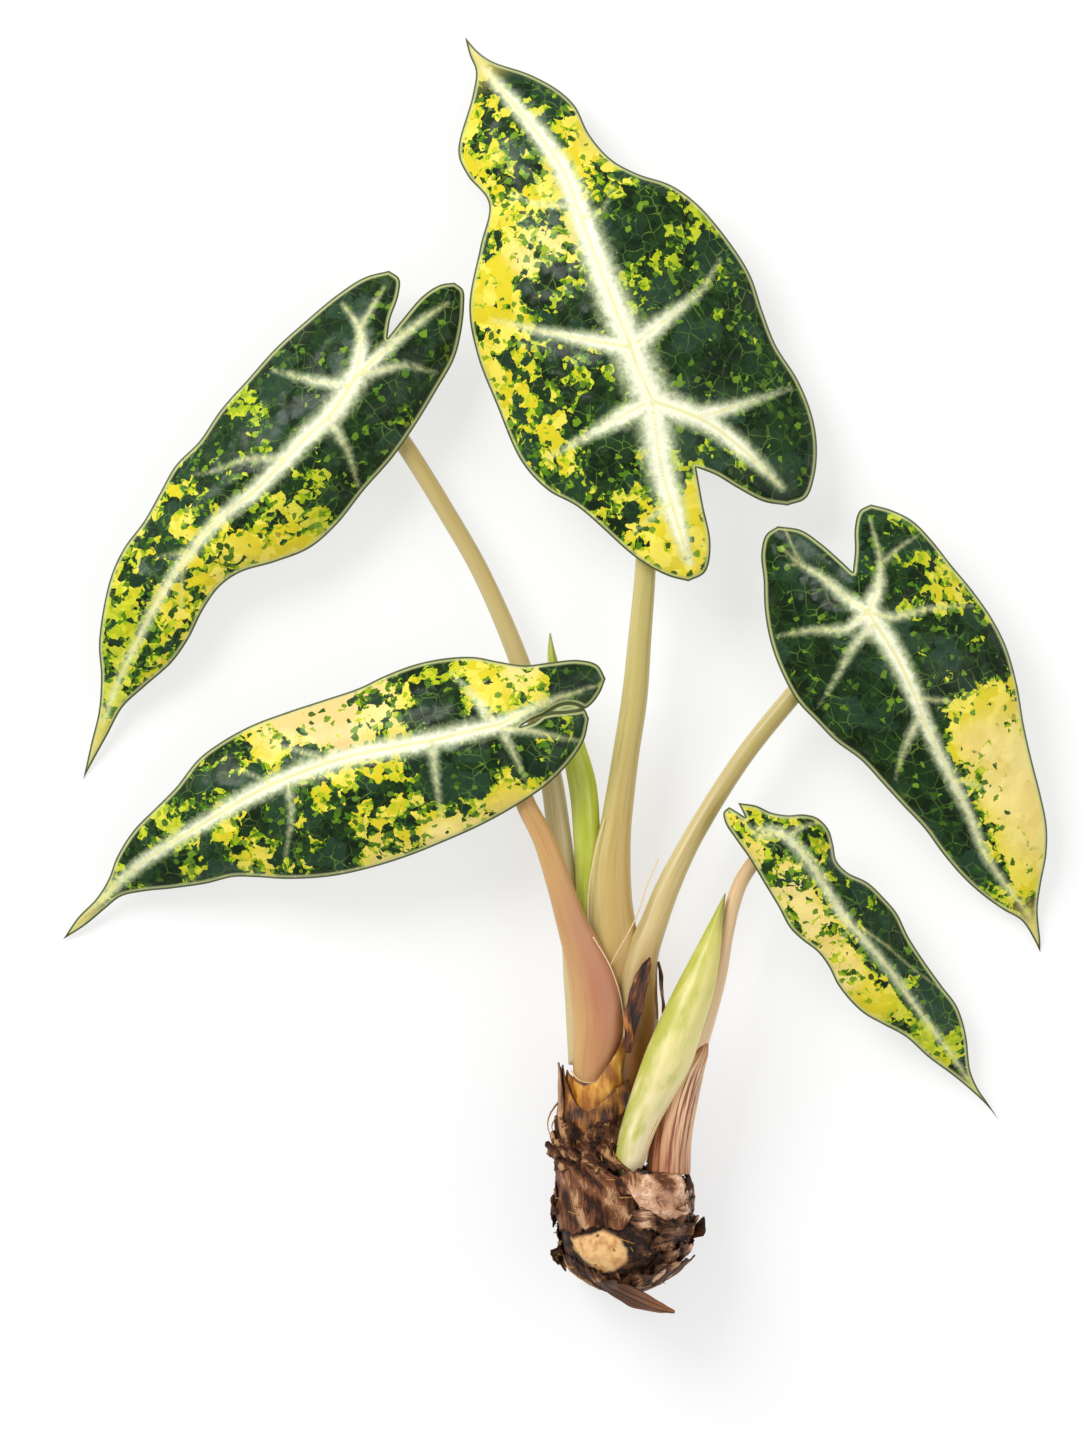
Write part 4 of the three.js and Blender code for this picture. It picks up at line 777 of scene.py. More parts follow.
def stalk_grid(stations, per_span=14, sides=48, ribs=0, depth=0.0):
    """A ring of half width a and half depth b carried along the stations: centre + across * a cos + front * b
    sin, with shallow ribs that scale both by 1 + depth * cos(ribs * angle)."""
    control = np.asarray(stations, float)
    line = dense_curve(control[:, :3], per_span)
    size = dense_curve(np.c_[control[:, 3:], np.zeros(len(control))], per_span)
    tangent = np.gradient(line, axis=0)
    tangent /= np.linalg.norm(tangent, axis=1, keepdims=True)
    across = np.cross(tangent, (0, 0, 1.0))
    across /= np.linalg.norm(across, axis=1, keepdims=True)
    front = np.cross(across, tangent)
    angle = np.linspace(0, 2 * np.pi, sides + 1)
    ribbed = 1 + depth * np.cos(ribs * angle)
    a, b = np.maximum(size[:, :2], 0.12).T
    ring = across[:, None] * (a[:, None] * np.cos(angle) * ribbed)[..., None]
    ring = ring + front[:, None] * (b[:, None] * np.sin(angle) * ribbed)[..., None]
    length = np.r_[0, np.cumsum(np.linalg.norm(np.diff(line, axis=0), axis=1))]
    return line[:, None] + ring, length, angle


def crumple(across, lengthwise, seed, low=2.5, high=13.0, count=16):
    """Creased paper: a sum of 1 - 2|sin| ridges in random directions, each as deep as it is wide, from 0
    to 1."""
    random = np.random.default_rng(seed)
    total = np.zeros_like(across)
    for _ in range(count):
        wave, turn, phase = random.uniform(low, high), random.normal(0.9, 0.6), random.uniform(0, 7)
        reach = (across * np.sin(turn) + lengthwise * np.cos(turn)) * np.pi / wave
        total += (1 - 2 * np.abs(np.sin(reach + phase))) * wave
    return (total - total.min()) / (total.max() - total.min())


def capped(grid):
    """Closes a tube at both ends by running a last ring into its own centre."""
    return np.concatenate([grid[:1].mean(1, keepdims=True).repeat(grid.shape[1], 1), grid,
                           grid[-1:].mean(1, keepdims=True).repeat(grid.shape[1], 1)])


def make_stalk(name, node, slot, stations, material, crease=0.0, seed=3, **shape):
    """A closed stalk with its share of the length, its left-right side and its creases as fields."""
    grid, length, angle = stalk_grid(stations, **shape)
    closed = capped(grid)
    length = np.r_[length[0], length, length[-1]]
    ridge = np.zeros(closed.shape[:2])
    if crease:
        centre = closed.mean(1, keepdims=True)
        ridge = crumple(np.abs(angle - np.pi)[None] * 4 + 0 * length[:, None],
                        length[:, None] + 0 * angle[None], seed)
        away = closed - centre
        reach = np.maximum(np.linalg.norm(away, axis=2, keepdims=True), 0.3)
        closed = closed + away / reach * crease * (ridge[..., None] - 0.6) * np.minimum(1, reach)
    lengths = np.repeat(length[:, None], len(angle), 1)
    uv = np.column_stack([np.tile(angle / (2 * np.pi), len(length)), lengths.ravel() / 100])
    fields = {"share": lengths.ravel() / lengths.max(), "side": np.tile(np.cos(angle), len(length)),
              "ridge": ridge.ravel(), "edge": np.full(ridge.size, 3.0)}
    quads = grid_quads(*closed.shape[:2])
    return make_piece(name, node, closed.reshape(-1, 3), quads, fields, uv, material)


# %% [markdown]
# Living stalk is smooth and waxy, with fine lengthwise fibres under the skin. The fibres are a noise pulled
# out along
# the stalk, and the colour runs from the base to the leaf.

# %% Stalk materials


def fibrous(name, stops, streak, roughness, strength=0.4, around=26, relief=0.1, left=None, soft=None,
            sharp=0.75):
    """A lengthwise-streaked finish. stops are [share along the stalk, hex], streak is the streaks' colour,
    left a colour that the left side turns to, on the leaf stalks a lighter one that is a painted highlight on
    the side toward the lamp, soft one that comes in soft patches, and sharp where streaks are full."""
    material, tree, shader = new_material(name, roughness, 0.45)
    share, side = (add_node(tree, "Attribute", {}, "Fac", attribute_name=name) for name in ("share", "side"))
    colour = add_node(tree, "ValToRGB", {0: share})
    elements = colour.node.color_ramp.elements
    while len(elements) < len(stops):
        elements.new(0.5)
    for element, (position, value) in zip(elements, stops):
        element.position, element.color = position, paint(value)
    uv = add_node(tree, "UVMap", uv_map="lengthwise")
    pulled = add_node(tree, "Mapping", {0: uv, "Scale": (around, 3.0, 1.0)})
    noise = add_node(tree, "TexNoise", {"Vector": pulled, "Scale": 1.0, "Detail": 4.0, "Roughness": 0.6})
    if left:
        colour = layer(tree, colour, left, side, -0.9, 0.1, 0.85, 0)
    if soft:
        drawn = add_node(tree, "Mapping", {0: uv, "Scale": (9.0, 9.0, 1.0)})
        cloud = add_node(tree, "TexNoise", {"Vector": drawn, "Scale": 1.0, "Detail": 4.0})
        colour = layer(tree, colour, soft, weighted(tree, [(side, -0.17)], cloud), 0.36, 0.74, 0, 0.85)
    colour = layer(tree, colour, streak, noise, 0.45, sharp, 0, strength)
    cover(tree, shader, colour, noise, 0.4, relief)
    return material


# %% Stalk finishes
# Waxy skin over fibre: satin, with streaks that run the length of the stalk. The ramps run from the base to
# the leaf,
# from tan, pink or cream, where the stalk was in the shade of its neighbours, to olive.
# The left colour lightens each leaf stalk's left side, which faces the lamp: a painted highlight.
olive_stalk = fibrous("waxy_olive_stalk", [(0, "C59D5D"), (0.3, "C3A360"), (0.6, "BBAB62"), (1, "B5AB60")],
                      "8E7C40", 0.34, left="D0C181")
cream_stalk = fibrous("waxy_cream_based_stalk",
                      [(0, "D1B986"), (0.35, "D5C393"), (0.48, "CDB883"), (0.6, "BDA76A"), (1, "B19C5B")],
                      "9A834E", 0.36, left="CAB983")
tan_stalk = fibrous("waxy_tan_based_stalk",
                    [(0, "673D1C"), (0.12, "8B5926"), (0.22, "B48F50"), (0.32, "CFB77E"), (0.55, "BAA765"),
                     (1, "A29149")], "84682E", 0.34, left="D0C188")
pale_stalk = fibrous("waxy_pale_stalk", [(0, "E6CCA9"), (0.4, "E1C399"), (0.8, "D9B88B"), (1, "C5A672")],
                     "C29A6C", 0.4)
pink_stalk = fibrous("waxy_pink_stalk",
                     [(0, "C79565"), (0.08, "BE8658"), (0.28, "B87A5C"), (0.45, "BC8A62"), (0.62, "C99B60"),
                      (1, "BC9657")], "A4624C", 0.36, left="CDA468")
green_shoot = fibrous("waxy_green_shoot",
                      [(0, "F8E7BF"), (0.22, "F0E1AE"), (0.5, "E6DA92"), (0.85, "D5CC71"), (1, "6E691F")],
                      "C6BE61", 0.34, 0.4, 14, soft="AEB436")
young_leaf = fibrous("waxy_young_leaf",
                     [(0, "B0B83C"), (0.5, "B7C23C"), (0.85, "A8B62C"), (0.97, "8A8A2A"), (1, "4A2E14")],
                     "87A01A", 0.36, 0.5, 14, soft="CCD268")
print("seven stalk finishes")

# %% Stalk stations
PETIOLES = {
  "lower_left": [
    [11, -124, 23.5, 5.5, 4], [11.7, -116, 23.5, 6.5, 5.5], [13, -105, 23.5, 7.8, 6.5],
      [11.7, -95, 24.5, 7.5, 6],
    [8.7, -85, 25.5, 6.1, 5], [4.9, -75, 26.5, 4.6, 4], [1.7, -65, 27.5, 3.9, 3.6],
      [-3.5, -50, 29.5, 3.3, 3.2],
    [-8.6, -40, 31, 3, 3], [-12.5, -30, 33, 2.9, 2.9], [-15.5, -20, 37, 2.8, 2.8],
  ],
  "right": [
    [19.5, -130, 18.5, 6, 6], [22, -118, 19, 7, 6.5], [24.3, -105, 20, 6.7, 6], [24.8, -95, 20.5, 5.9, 5.5],
    [26.2, -85, 20.5, 4.9, 4.6], [29.8, -75, 20.5, 4.1, 3.9], [33.7, -65, 20.5, 3.7, 3.5],
      [41.2, -50, 19.5, 3, 3],
    [56.6, -25.5, 17.5, 2.8, 2.8], [71.5, -7, 16.5, 2.8, 2.8], [83.5, 6.5, 20, 2.8, 2.8],
      [93, 16, 30, 2.8, 2.8],
  ],
  "top": [
    [13, -128, 15, 5.5, 5], [16, -105, 16, 7.5, 6], [17.4, -85, 18, 7.6, 6], [16.6, -68, 19.5, 6.5, 5.4],
    [16.8, -57, 20, 5.9, 5], [18.4, -45, 20.5, 4.6, 4.3], [21.2, -25, 21, 4, 4], [23.8, -8, 21.5, 3.9, 3.9],
    [25.4, 10, 22, 3.5, 3.5], [27.2, 33, 23.5, 3.1, 3.1], [27.5, 60, 28, 3, 3], [26.6, 79, 34.2, 3, 3],
  ],
  "upper_left": [
    [8.5, -118, 11, 4.5, 4.5], [7.5, -95, 12, 4.8, 4.6], [5.5, -75, 14, 4, 4], [2.8, -60, 15.5, 3.7, 3.6],
    [1.1, -48, 16, 3.6, 3.5], [-1, -33, 16, 3.4, 3.3], [-5.3, -15, 15, 3.1, 3.1], [-10.7, 3, 14, 3, 3],
    [-22.3, 30, 13, 2.7, 2.7], [-33.2, 49, 13, 2.7, 2.7], [-44.7, 67.5, 13.5, 2.7, 2.7],
      [-53, 79, 19, 2.7, 2.7],
    [-59.2, 86.5, 27, 2.7, 2.7],
  ],
  "small": [
    [32, -148, 23.5, 4.8, 5], [35.3, -132, 24.5, 5, 5], [40.3, -116, 25, 4.4, 4.5],
      [45.8, -101, 25.5, 3.2, 3.5],
    [48.9, -90, 25.5, 2.8, 2.9], [50.9, -80, 25.3, 2.4, 2.5], [53.2, -70, 25, 2.3, 2.3],
      [56, -62.5, 25, 2.2, 2.2],
    [60, -56.6, 26.2, 2.2, 2.2], [65.4, -51, 31, 2.2, 2.2],
  ],
}
ROLLED_LEAF = [
  [9.5, -86, 17, 2.5, 2.5], [9.2, -68, 18, 2.9, 2.9], [9.4, -50, 19, 4, 3.4], [8.3, -35, 20, 4.2, 3.4],
  [5, -21, 21, 3.6, 3], [0.9, -5, 21.5, 2.5, 2.3], [-1, 5, 21.5, 1.3, 1.3], [-1.5, 11.7, 21.5, 0.2, 0.2],
]
SHOOT_CATAPHYLL = [
  [21.7, -152.5, 27.5, 2.6, 3.5], [22.6, -145, 29, 4.7, 5.5], [25.5, -135, 30.5, 5.2, 5.8],
    [29.7, -125, 31.5, 6.2, 6],
  [34.2, -115, 32, 7, 6], [38, -105, 32, 6.4, 5.5], [42, -95, 31.5, 5.6, 4.8], [45.4, -85, 30.5, 4, 3.6],
  [48.4, -75, 29, 1.9, 2], [51, -66.4, 28, 0.2, 0.2],
]
SHOOT_DRY_SHEATH = [
  [34, -150, 24.5, 6.4, 7.4], [34.7, -140, 25, 6.1, 6.9], [36.6, -130, 25.5, 5.8, 6.4],
    [40, -120, 25.8, 4.6, 5.7],
  [43.8, -113.5, 26, 2.4, 3.6], [45.8, -109.6, 26, 0.2, 0.6],
]
FOOT_STUB = [
  [13, -181, 28, 1.6, 1.6], [18, -184.3, 32, 2.6, 1.9], [24.5, -187.4, 31.8, 2.8, 1.8],
    [30, -189.8, 29.5, 1.9, 1.4],
  [35.8, -191.8, 27, 0.5, 0.5],
]
TORN_BRACTS = {
  "torn_bract_front": [
    [21.6, -114, 30.6, 1.1, 0.5], [22.6, -105, 29.9, 2.3, 0.6], [23.9, -98, 29.3, 2.6, 0.6],
      [25.6, -92, 28.2, 2.3, 0.6],
    [27.4, -87.5, 27.3, 1.3, 0.5], [28.4, -85.6, 26.9, 0.4, 0.3],
  ],
  "torn_bract_side": [
    [32.6, -104.5, 19.5, 0.6, 1.2], [32.4, -98, 20, 0.7, 1.8], [31.8, -92, 20.3, 0.6, 1.5],
      [31, -87, 20.5, 0.5, 0.6],
  ],
}
STEM_NECK = [[11.5, -149.6, 20, 8, 8.4], [11.8, -140, 20, 8, 8.4], [12.3, -130.4, 19.5, 7.4, 7.8]]

# %% Stalks
STALK_FINISH = {"lower_left": pink_stalk, "right": tan_stalk, "top": olive_stalk,
                "upper_left": cream_stalk, "small": pale_stalk}
for name, stations in PETIOLES.items():
    slot = "pink_petiole" if name == "lower_left" else "petiole"
    piece = make_stalk(f"stalk_{name}", f"petiole_{name}", slot, stations, STALK_FINISH[name], ribs=9,
                       depth=0.012)
    print(piece.name, len(piece.data.polygons), "faces")
make_stalk("rolled_young_leaf", "rolled_leaf", "new_leaf", ROLLED_LEAF, young_leaf, ribs=5, depth=0.03)
make_stalk("shoot_green_sheath", "shoot_cataphyll", "green_shoot", SHOOT_CATAPHYLL, green_shoot, ribs=4,
           depth=0.02)

# %% [markdown]
# ## Dry sheaths and scales
# What is left of old leaf bases wraps the stem and the bulb as dry, fibrous scales. Each is a curved shell
# round a
# core: an angle goes round, a height goes along, and the radius is the core's plus a layer for the scales
# beneath.
# The upper and lower edges are torn, so they follow a list of heights with a ragged noise added to it.

# %% Scale surface
LAYER, GAP = 1.4, 0.35


def ragged(values, size, seed):
    """A torn line: ten sines of random pitch and phase, the long ones deep and the short ones shallow."""
    random = np.random.default_rng(seed)
    pitch = random.uniform(0.03, 0.6, 10)[:, None]
    phase = random.uniform(0, 7, 10)[:, None]
    waves = np.abs(np.sin(values[None] * pitch + phase)) * 2 - 1
    return size * (waves / (1 + 7 * pitch)).sum(0) * 0.6


def make_wrap(name, node, slot, core, low, high, beneath, material, curl=0.0, droop=0.0, rag=1.2, crease=1.3,
              seed=1):
    """Radius = core + gap + layers + curl * share^3 + droop * (1 - share)^3 + creases, for angles between the
    ends of the edge lists, where 0 degrees faces up and 90 faces +X."""
    low, high, core = np.asarray(low, float), np.asarray(high, float), np.asarray(core, float)
    start, end = low[0, 0], low[-1, 0]
    angles = np.linspace(start, end, max(40, int(abs(end - start) * 1.3)))
    share = np.linspace(0, 1, 42)
    taper = np.clip(np.minimum(angles - start, end - angles) / 12, 0, 1) ** 0.5
    bottom = np.interp(angles, *low[:, :2].T) + ragged(angles, rag, seed)
    top = np.interp(angles, *high[:, :2].T) + ragged(angles, rag, seed + 50)
    middle = (bottom + top) / 2
    bottom, top = middle + (bottom - middle) * (0.3 + 0.7 * taper), middle + (top - middle) * (0.3 + 0.7
                                                                                               * taper)
    y = bottom[:, None] + (top - bottom)[:, None] * share
    x, z, a, b = (np.interp(y, core[:, 0], core[:, k]) for k in (1, 2, 3, 4))
    angle = angles[:, None] + 0 * y
    ridge = crumple(angle * 0.33, y, seed)
    off = GAP + LAYER * beneath + curl * share**3 + droop * (1 - share) ** 3 + crease * (ridge - 0.45)
    skins = []
    for thick in (0.45, 0.0):
        r = off + thick
        skins.append(np.stack([x + (a + r) * np.sin(np.radians(angle)), y,
                               z + (b + r) * np.cos(np.radians(angle))], -1))
    rows, columns = y.shape
    count = rows * columns
    index = np.arange(count).reshape(rows, columns)
    quads = [grid_quads(rows, columns), grid_quads(rows, columns, count, flip=True)]
    for edge in (index[:, 0], index[::-1, -1], index[-1, :], index[0, ::-1]):
        quads.append(np.column_stack([edge[:-1], edge[:-1] + count, edge[1:] + count, edge[1:]]))
    uv = np.column_stack([(angle / 360).ravel(), y.ravel() / 100])
    edge = np.minimum(np.minimum(share * (top - bottom)[:, None], (1 - share) * (top - bottom)[:, None]),
                      np.minimum(angles - start, end - angles)[:, None] * 0.33)
    fields = {"share": np.tile(np.tile(share, rows), 2), "ridge": np.tile(ridge.ravel(), 2),
              "edge": np.tile(edge.ravel(), 2)}
    points = np.concatenate([skin.reshape(-1, 3) for skin in skins])
    return make_piece(name, node, points, np.vstack(quads), fields, np.vstack([uv, uv]), material)


# %% [markdown]
# Dead scale is fibre held by dried tissue, brown on its faces. Its colour follows the creases that shape the
# surface, mixed with a noise pulled out along the fibres, 0.5 mm apart: painted shade, nearly black, in the
# creases, and a painted highlight, pale tan, on the crests. Along the torn rims it turns dark brown.

# %% Dry finishes


def papery(name, deep, body, crest, rim, roughness, specular=0.2, around=55, lengthwise=9.0):
    """Colour by height: deep is painted shade in the creases, body the colour between, crest a painted
    highlight on the ridges, and rim the colour along the torn edges. Fibres are pulled out along the scale
    where around is large, and round it where lengthwise is."""
    material, tree, shader = new_material(name, roughness, specular)
    ridge, edge = (add_node(tree, "Attribute", {}, "Fac", attribute_name=name) for name in ("ridge", "edge"))
    uv = add_node(tree, "UVMap", uv_map="lengthwise")
    pulled = add_node(tree, "Mapping", {0: uv, "Scale": (around, lengthwise, 1.0)})
    pulls = {"Vector": pulled, "Scale": 1.6, "Detail": 5.0, "Roughness": 0.7, "Distortion": 1.2}
    fibre = add_node(tree, "TexNoise", pulls)
    place = add_node(tree, "TexCoord", {}, "Object")
    blotch = add_node(tree, "TexNoise",
                      {"Vector": place, "Scale": 1 / (4 * MM), "Detail": 6.0, "Roughness": 0.7})
    # The creases' share of this height paints shade into the creases and a highlight onto the crests.
    height = weighted(tree, [(ridge, 0.48), (fibre, 0.75), (blotch, 0.3)])
    colour = layer(tree, deep, body, height, 0.6, 0.8)
    colour = layer(tree, colour, crest, height, 0.8, 0.97)
    colour = layer(tree, colour, rim, weighted(tree, [(fibre, 0.9)], edge), 0.55, 1.0, 0.85, 0)
    cover(tree, shader, colour, height, 0.8, 0.7)
    return material


# %% Scale finishes
# Dead scale is dull and paper-like, so it is rough. The sheaths that dried last are still smooth and a little
# glossy.
# Each row: name, painted crease shade, face colour, painted crest highlight, rim colour, roughness, specular
# and fibre pulls.
FINISH = {
    "brown": papery("dry_brown_scale", "180A03", "5C361E", "B98C62", "381A0A", 0.55, 0.16, 34, 30),
    "grey": papery("dry_fibrous_scale", "321608", "7A4C2E", "BE946C", "3A1A08", 0.55, 0.18, 70, 12),
    "wrinkled": papery("dry_wrinkled_scale", "1A0A03", "7A5238", "D8AE8C", "3A1C0A", 0.5, 0.2, 12, 42),
    "pink": papery("dry_pinkish_scale", "633923", "C49270", "F1CDAE", "59301D", 0.45, 0.3, 26, 26),
    "amber": papery("papery_amber_sheath", "9F601E", "D49438", "F0BE5C", "703A10", 0.3, 0.5, 12, 6),
    "copper": papery("papery_copper_sheath", "3B1C09", "885120", "C08136", "3B1C0A", 0.38, 0.5, 30),
    "tan": papery("papery_tan_sheath", "5C361A", "A2703E", "D09E66", "4A2712", 0.42, 0.45, 30),
    "torn": papery("brittle_torn_sheath", "1E0C04", "5E2E10", "B87230", "2E1508", 0.42, 0.4, 16),
}
print(len(FINISH), "dry finishes")

# %% Streaked dry finishes
# The side shoot's sheath dried with its red-brown fibres showing, and the stub is bare wood fibre.
striped_skin = fibrous("dry_striped_sheath",
                       [(0, "C28F68"), (0.35, "E4B78E"), (0.75, "F5D2A6"), (0.93, "CC9562"), (1, "562D14")],
                       "803E20", 0.5, 0.95, 34, 0.4, left="B06D4A", sharp=0.6)
stub_wood = fibrous("fibrous_stub_wood",
                    [(0, "261207"), (0.25, "55321B"), (0.6, "7C4E2E"), (0.85, "9B6030"), (1, "AD6222")],
                    "261207", 0.5, 1.0, 40, 0.7, sharp=0.58)
print(striped_skin.name, stub_wood.name)

# %% Stem and bulb cores
BULB_CORE = [
  [-187, 20.5, 20.2, 2, 2], [-184, 20.5, 20.2, 9, 9], [-180, 20.5, 20.2, 14, 14.5],
    [-175, 20.8, 20.2, 17.5, 17.5],
  [-168, 20.8, 20.2, 18.8, 18.8], [-160, 20.5, 20.2, 19, 18.8], [-154, 21, 20.2, 18.2, 17.5],
    [-149.5, 21, 20.2, 15, 14],
]
STEM_CORE = [
  [-148.5, 11.5, 20, 8.6, 9], [-140, 11.8, 20, 8.7, 9.2], [-130, 12.3, 20, 8.8, 9.5],
    [-120, 12.5, 20, 8.3, 9.8],
  [-110, 13.5, 20, 9, 10.3], [-95, 14.5, 20, 11, 10.5],
]

# The bulb's left shoulder runs up into the stem without a step.
SHOULDER_CORE = [
    [-187, 20.5, 20.2, 2, 2], [-180, 20.5, 20.2, 14, 14.5], [-175, 20.8, 20.2, 17.5, 17.5],
    [-168, 20.8, 20.2, 18.8, 18.8],
    [-160, 20.5, 20.2, 19, 18.8], [-154, 19.5, 20.2, 18, 17.5], [-149, 15.5, 20, 14.2, 14],
    [-145, 12.5, 20, 11.2, 11.5],
    [-138, 11.8, 20, 10.4, 11],
]

# %% Scales
# name, node, record slot, core, lower edge and upper edge as [angle, y], layers beneath, finish, shape
WRAPS = [
    ("amber_sheath", "stem_amber_sheath", "amber_sheath", STEM_CORE, [(-100, -139), (88, -139)],
     [(-100, -119), (-60, -121), (-25, -124), (0, -122.5), (20, -118), (45, -111), (70, -103), (88, -98)], 0,
     "amber",
     {"rag": 0.1, "crease": 0.3}),
    ("copper_sheath", "stem_brown_sheath", "brown_scale", STEM_CORE, [(-115, -141), (80, -141)],
     [(-115, -119), (-80, -118), (-62, -122), (-30, -130), (-12, -132), (10, -128.5), (35, -124.5),
      (80, -121)], 0.9, "copper",
     {"rag": 0.15, "crease": 0.6, "curl": 0.3}),
    ("left_flap", "stem_brown_sheath", "brown_scale", STEM_CORE, [(-130, -137), (-58, -138)],
     [(-130, -121), (-100, -117.4), (-74, -117.4), (-58, -121.5)], 1.4, "tan",
     {"curl": 0.9, "rag": 0.12, "crease": 0.7}),
    ("lower_band", "stem_brown_sheath", "brown_scale", STEM_CORE, [(-122, -144), (70, -143)],
     [(-122, -133), (-60, -135), (-15, -138), (20, -135.5), (70, -131)], 1.7, "brown", {"crease": 2.2}),
    ("folded_scale", "stem_folded_scale", "brown_scale", SHOULDER_CORE, [(-118, -150.5), (50, -150)],
     [(-118, -141), (-70, -139.5), (-30, -141), (20, -142), (50, -141)], 0.3, "brown",
     {"crease": 2.6, "curl": 0.8}),
    ("folded_rim", "stem_folded_scale", "brown_scale", SHOULDER_CORE, [(-110, -146), (-20, -147)],
     [(-110, -142.5), (-60, -143), (-20, -142)], 1.4, "brown", {"crease": 2.4, "curl": 1.4}),
    ("back_scale", "stem_back_scale", "brown_scale", STEM_CORE, [(122, -150), (238, -150)],
     [(122, -118), (180, -112), (238, -120)], 0, "brown", {}),
    ("scale_left", "bulb_scale_left", "bulb_scale", SHOULDER_CORE,
     [(-97, -165), (-60, -168.5), (-40, -168), (-20, -166), (-5, -167.5), (12, -163)],
     [(-97, -150.5), (-40, -148), (0, -149), (12, -152)], 0.3, "grey", {"rag": 0.8, "crease": 1.6}),
    ("scale_left_edge", "bulb_scale_left_edge", "bulb_scale", BULB_CORE, [(-128, -167.5), (-80, -166)],
     [(-128, -152.5), (-80, -154)], 0.8, "brown", {"curl": 0.9, "droop": 0.8, "rag": 1.6}),
    ("scale_left_fold", "bulb_scale_left_edge", "bulb_scale", BULB_CORE, [(-112, -163), (-70, -164)],
     [(-112, -157.5), (-70, -159.5)], 1.3, "brown", {"curl": 0.9, "crease": 1.8}),
    ("scale_left_hook", "bulb_scale_lower_left", "bulb_scale", BULB_CORE, [(-128, -179), (-84, -178)],
     [(-128, -167), (-84, -168)], 0.5, "brown", {"droop": 3.2, "rag": 1.4}),
    ("scale_below_scar", "bulb_scale_lower_left", "bulb_scale", BULB_CORE,
     [(-105, -184.5), (-40, -186.3), (6, -186.3)],
     [(-105, -172), (-72, -176), (-40, -179.5), (-10, -181.5), (6, -181)], 0.2, "brown", {"crease": 2.0}),
    ("scale_pink", "bulb_scale_right", "bulb_scale", BULB_CORE,
     [(1, -155), (14, -161), (38, -164.5), (62, -163), (80, -159)],
     [(1, -152.6), (12, -150.4), (80, -150)], 1.0, "pink", {"rag": 0.7, "crease": 2.0}),
    ("scale_shoot_foot", "bulb_scale_right", "bulb_scale", BULB_CORE, [(-9, -157), (8, -156.5), (26, -156)],
     [(-9, -151), (0, -149.4), (10, -150.2), (26, -150.6)], 0.8, "grey",
     {"curl": 0.6, "rag": 0.7, "crease": 1.0}),
    ("scale_right_top", "bulb_scale_right", "bulb_scale", BULB_CORE, [(58, -163), (118, -162)],
     [(58, -152), (84, -148.5), (118, -150)], 0.9, "brown", {"curl": 2.2, "rag": 1.5}),
    ("scale_band", "bulb_scale_band", "bulb_scale", BULB_CORE, [(4, -168), (50, -167), (110, -168)],
     [(4, -160), (30, -162.5), (60, -160), (110, -157)], 0.6, "wrinkled", {"crease": 2.4, "curl": 0.9}),
    ("scale_band_low", "bulb_scale_band", "bulb_scale", BULB_CORE, [(24, -174), (70, -172.5), (116, -175)],
     [(24, -167), (60, -166), (116, -163)], 0.5, "wrinkled", {"curl": 1.9, "crease": 2.2}),
    ("scale_right_curl", "bulb_scale_lower_right", "bulb_scale", BULB_CORE, [(76, -174), (120, -174)],
     [(76, -168.5), (96, -166), (120, -167)], 0.6, "brown", {"curl": 4.2, "rag": 1.4}),
    ("scale_lower_right", "bulb_scale_lower_right", "bulb_scale", BULB_CORE,
     [(22, -183.5), (60, -182.5), (128, -183.5)],
     [(22, -178), (40, -173.5), (60, -172), (128, -171)], 0.3, "wrinkled", {"crease": 2.2, "curl": 1.0}),
    ("scale_foot", "bulb_scale_lower_right", "bulb_scale", BULB_CORE,
     [(-8, -186.6), (60, -186.4), (110, -186)],
     [(-8, -182), (40, -179.5), (80, -176.5), (110, -177.5)], 1.0, "brown",
     {"crease": 2.4, "curl": 1.5, "rag": 1.6}),
    ("scale_back_upper", "bulb_scale_back_upper", "bulb_scale", BULB_CORE, [(104, -167.5), (262, -168)],
     [(104, -150), (262, -150)], 0, "grey", {"crease": 0.6}),
    ("scale_back_lower", "bulb_scale_back_lower", "bulb_scale", BULB_CORE, [(112, -185.5), (250, -185.5)],
     [(112, -166), (250, -166)], 0, "brown", {"crease": 0.6}),
]
for seed, (name, node, slot, core, low, high, beneath, finish, extra) in enumerate(WRAPS):
    piece = make_wrap(name, node, slot, core, low, high, beneath, FINISH[finish], seed=seed * 3 + 5, **extra)
print(len(WRAPS), "scales")

make_stalk("shoot_striped_sheath", "shoot_dry_sheath", "dry_sheath", SHOOT_DRY_SHEATH, striped_skin, ribs=13,
           depth=0.04)
make_stalk("foot_stub_wood", "foot_stub", "brown_scale", FOOT_STUB, stub_wood, ribs=5, depth=0.12, crease=0.7)
for name, stations in TORN_BRACTS.items():
    make_stalk(f"{name}_dry", name, "brown_scale", stations, FINISH["torn"], ribs=3, depth=0.2, crease=1.3)
make_stalk("stem_neck_amber", "stem_neck", "amber_sheath", STEM_NECK, stub_wood)

# %% [markdown]
# ## Sheath rims and loose fibres
# Each stalk's base wraps the next one as a sheath, and the sheath's margin dries to a thin pale rim. The bulb
# also
# sheds fibres. Both are thin tubes: a rim is one tube on the surface, and the fibres are many, each bending
# away from
# the scale it left, all worked out in one array.

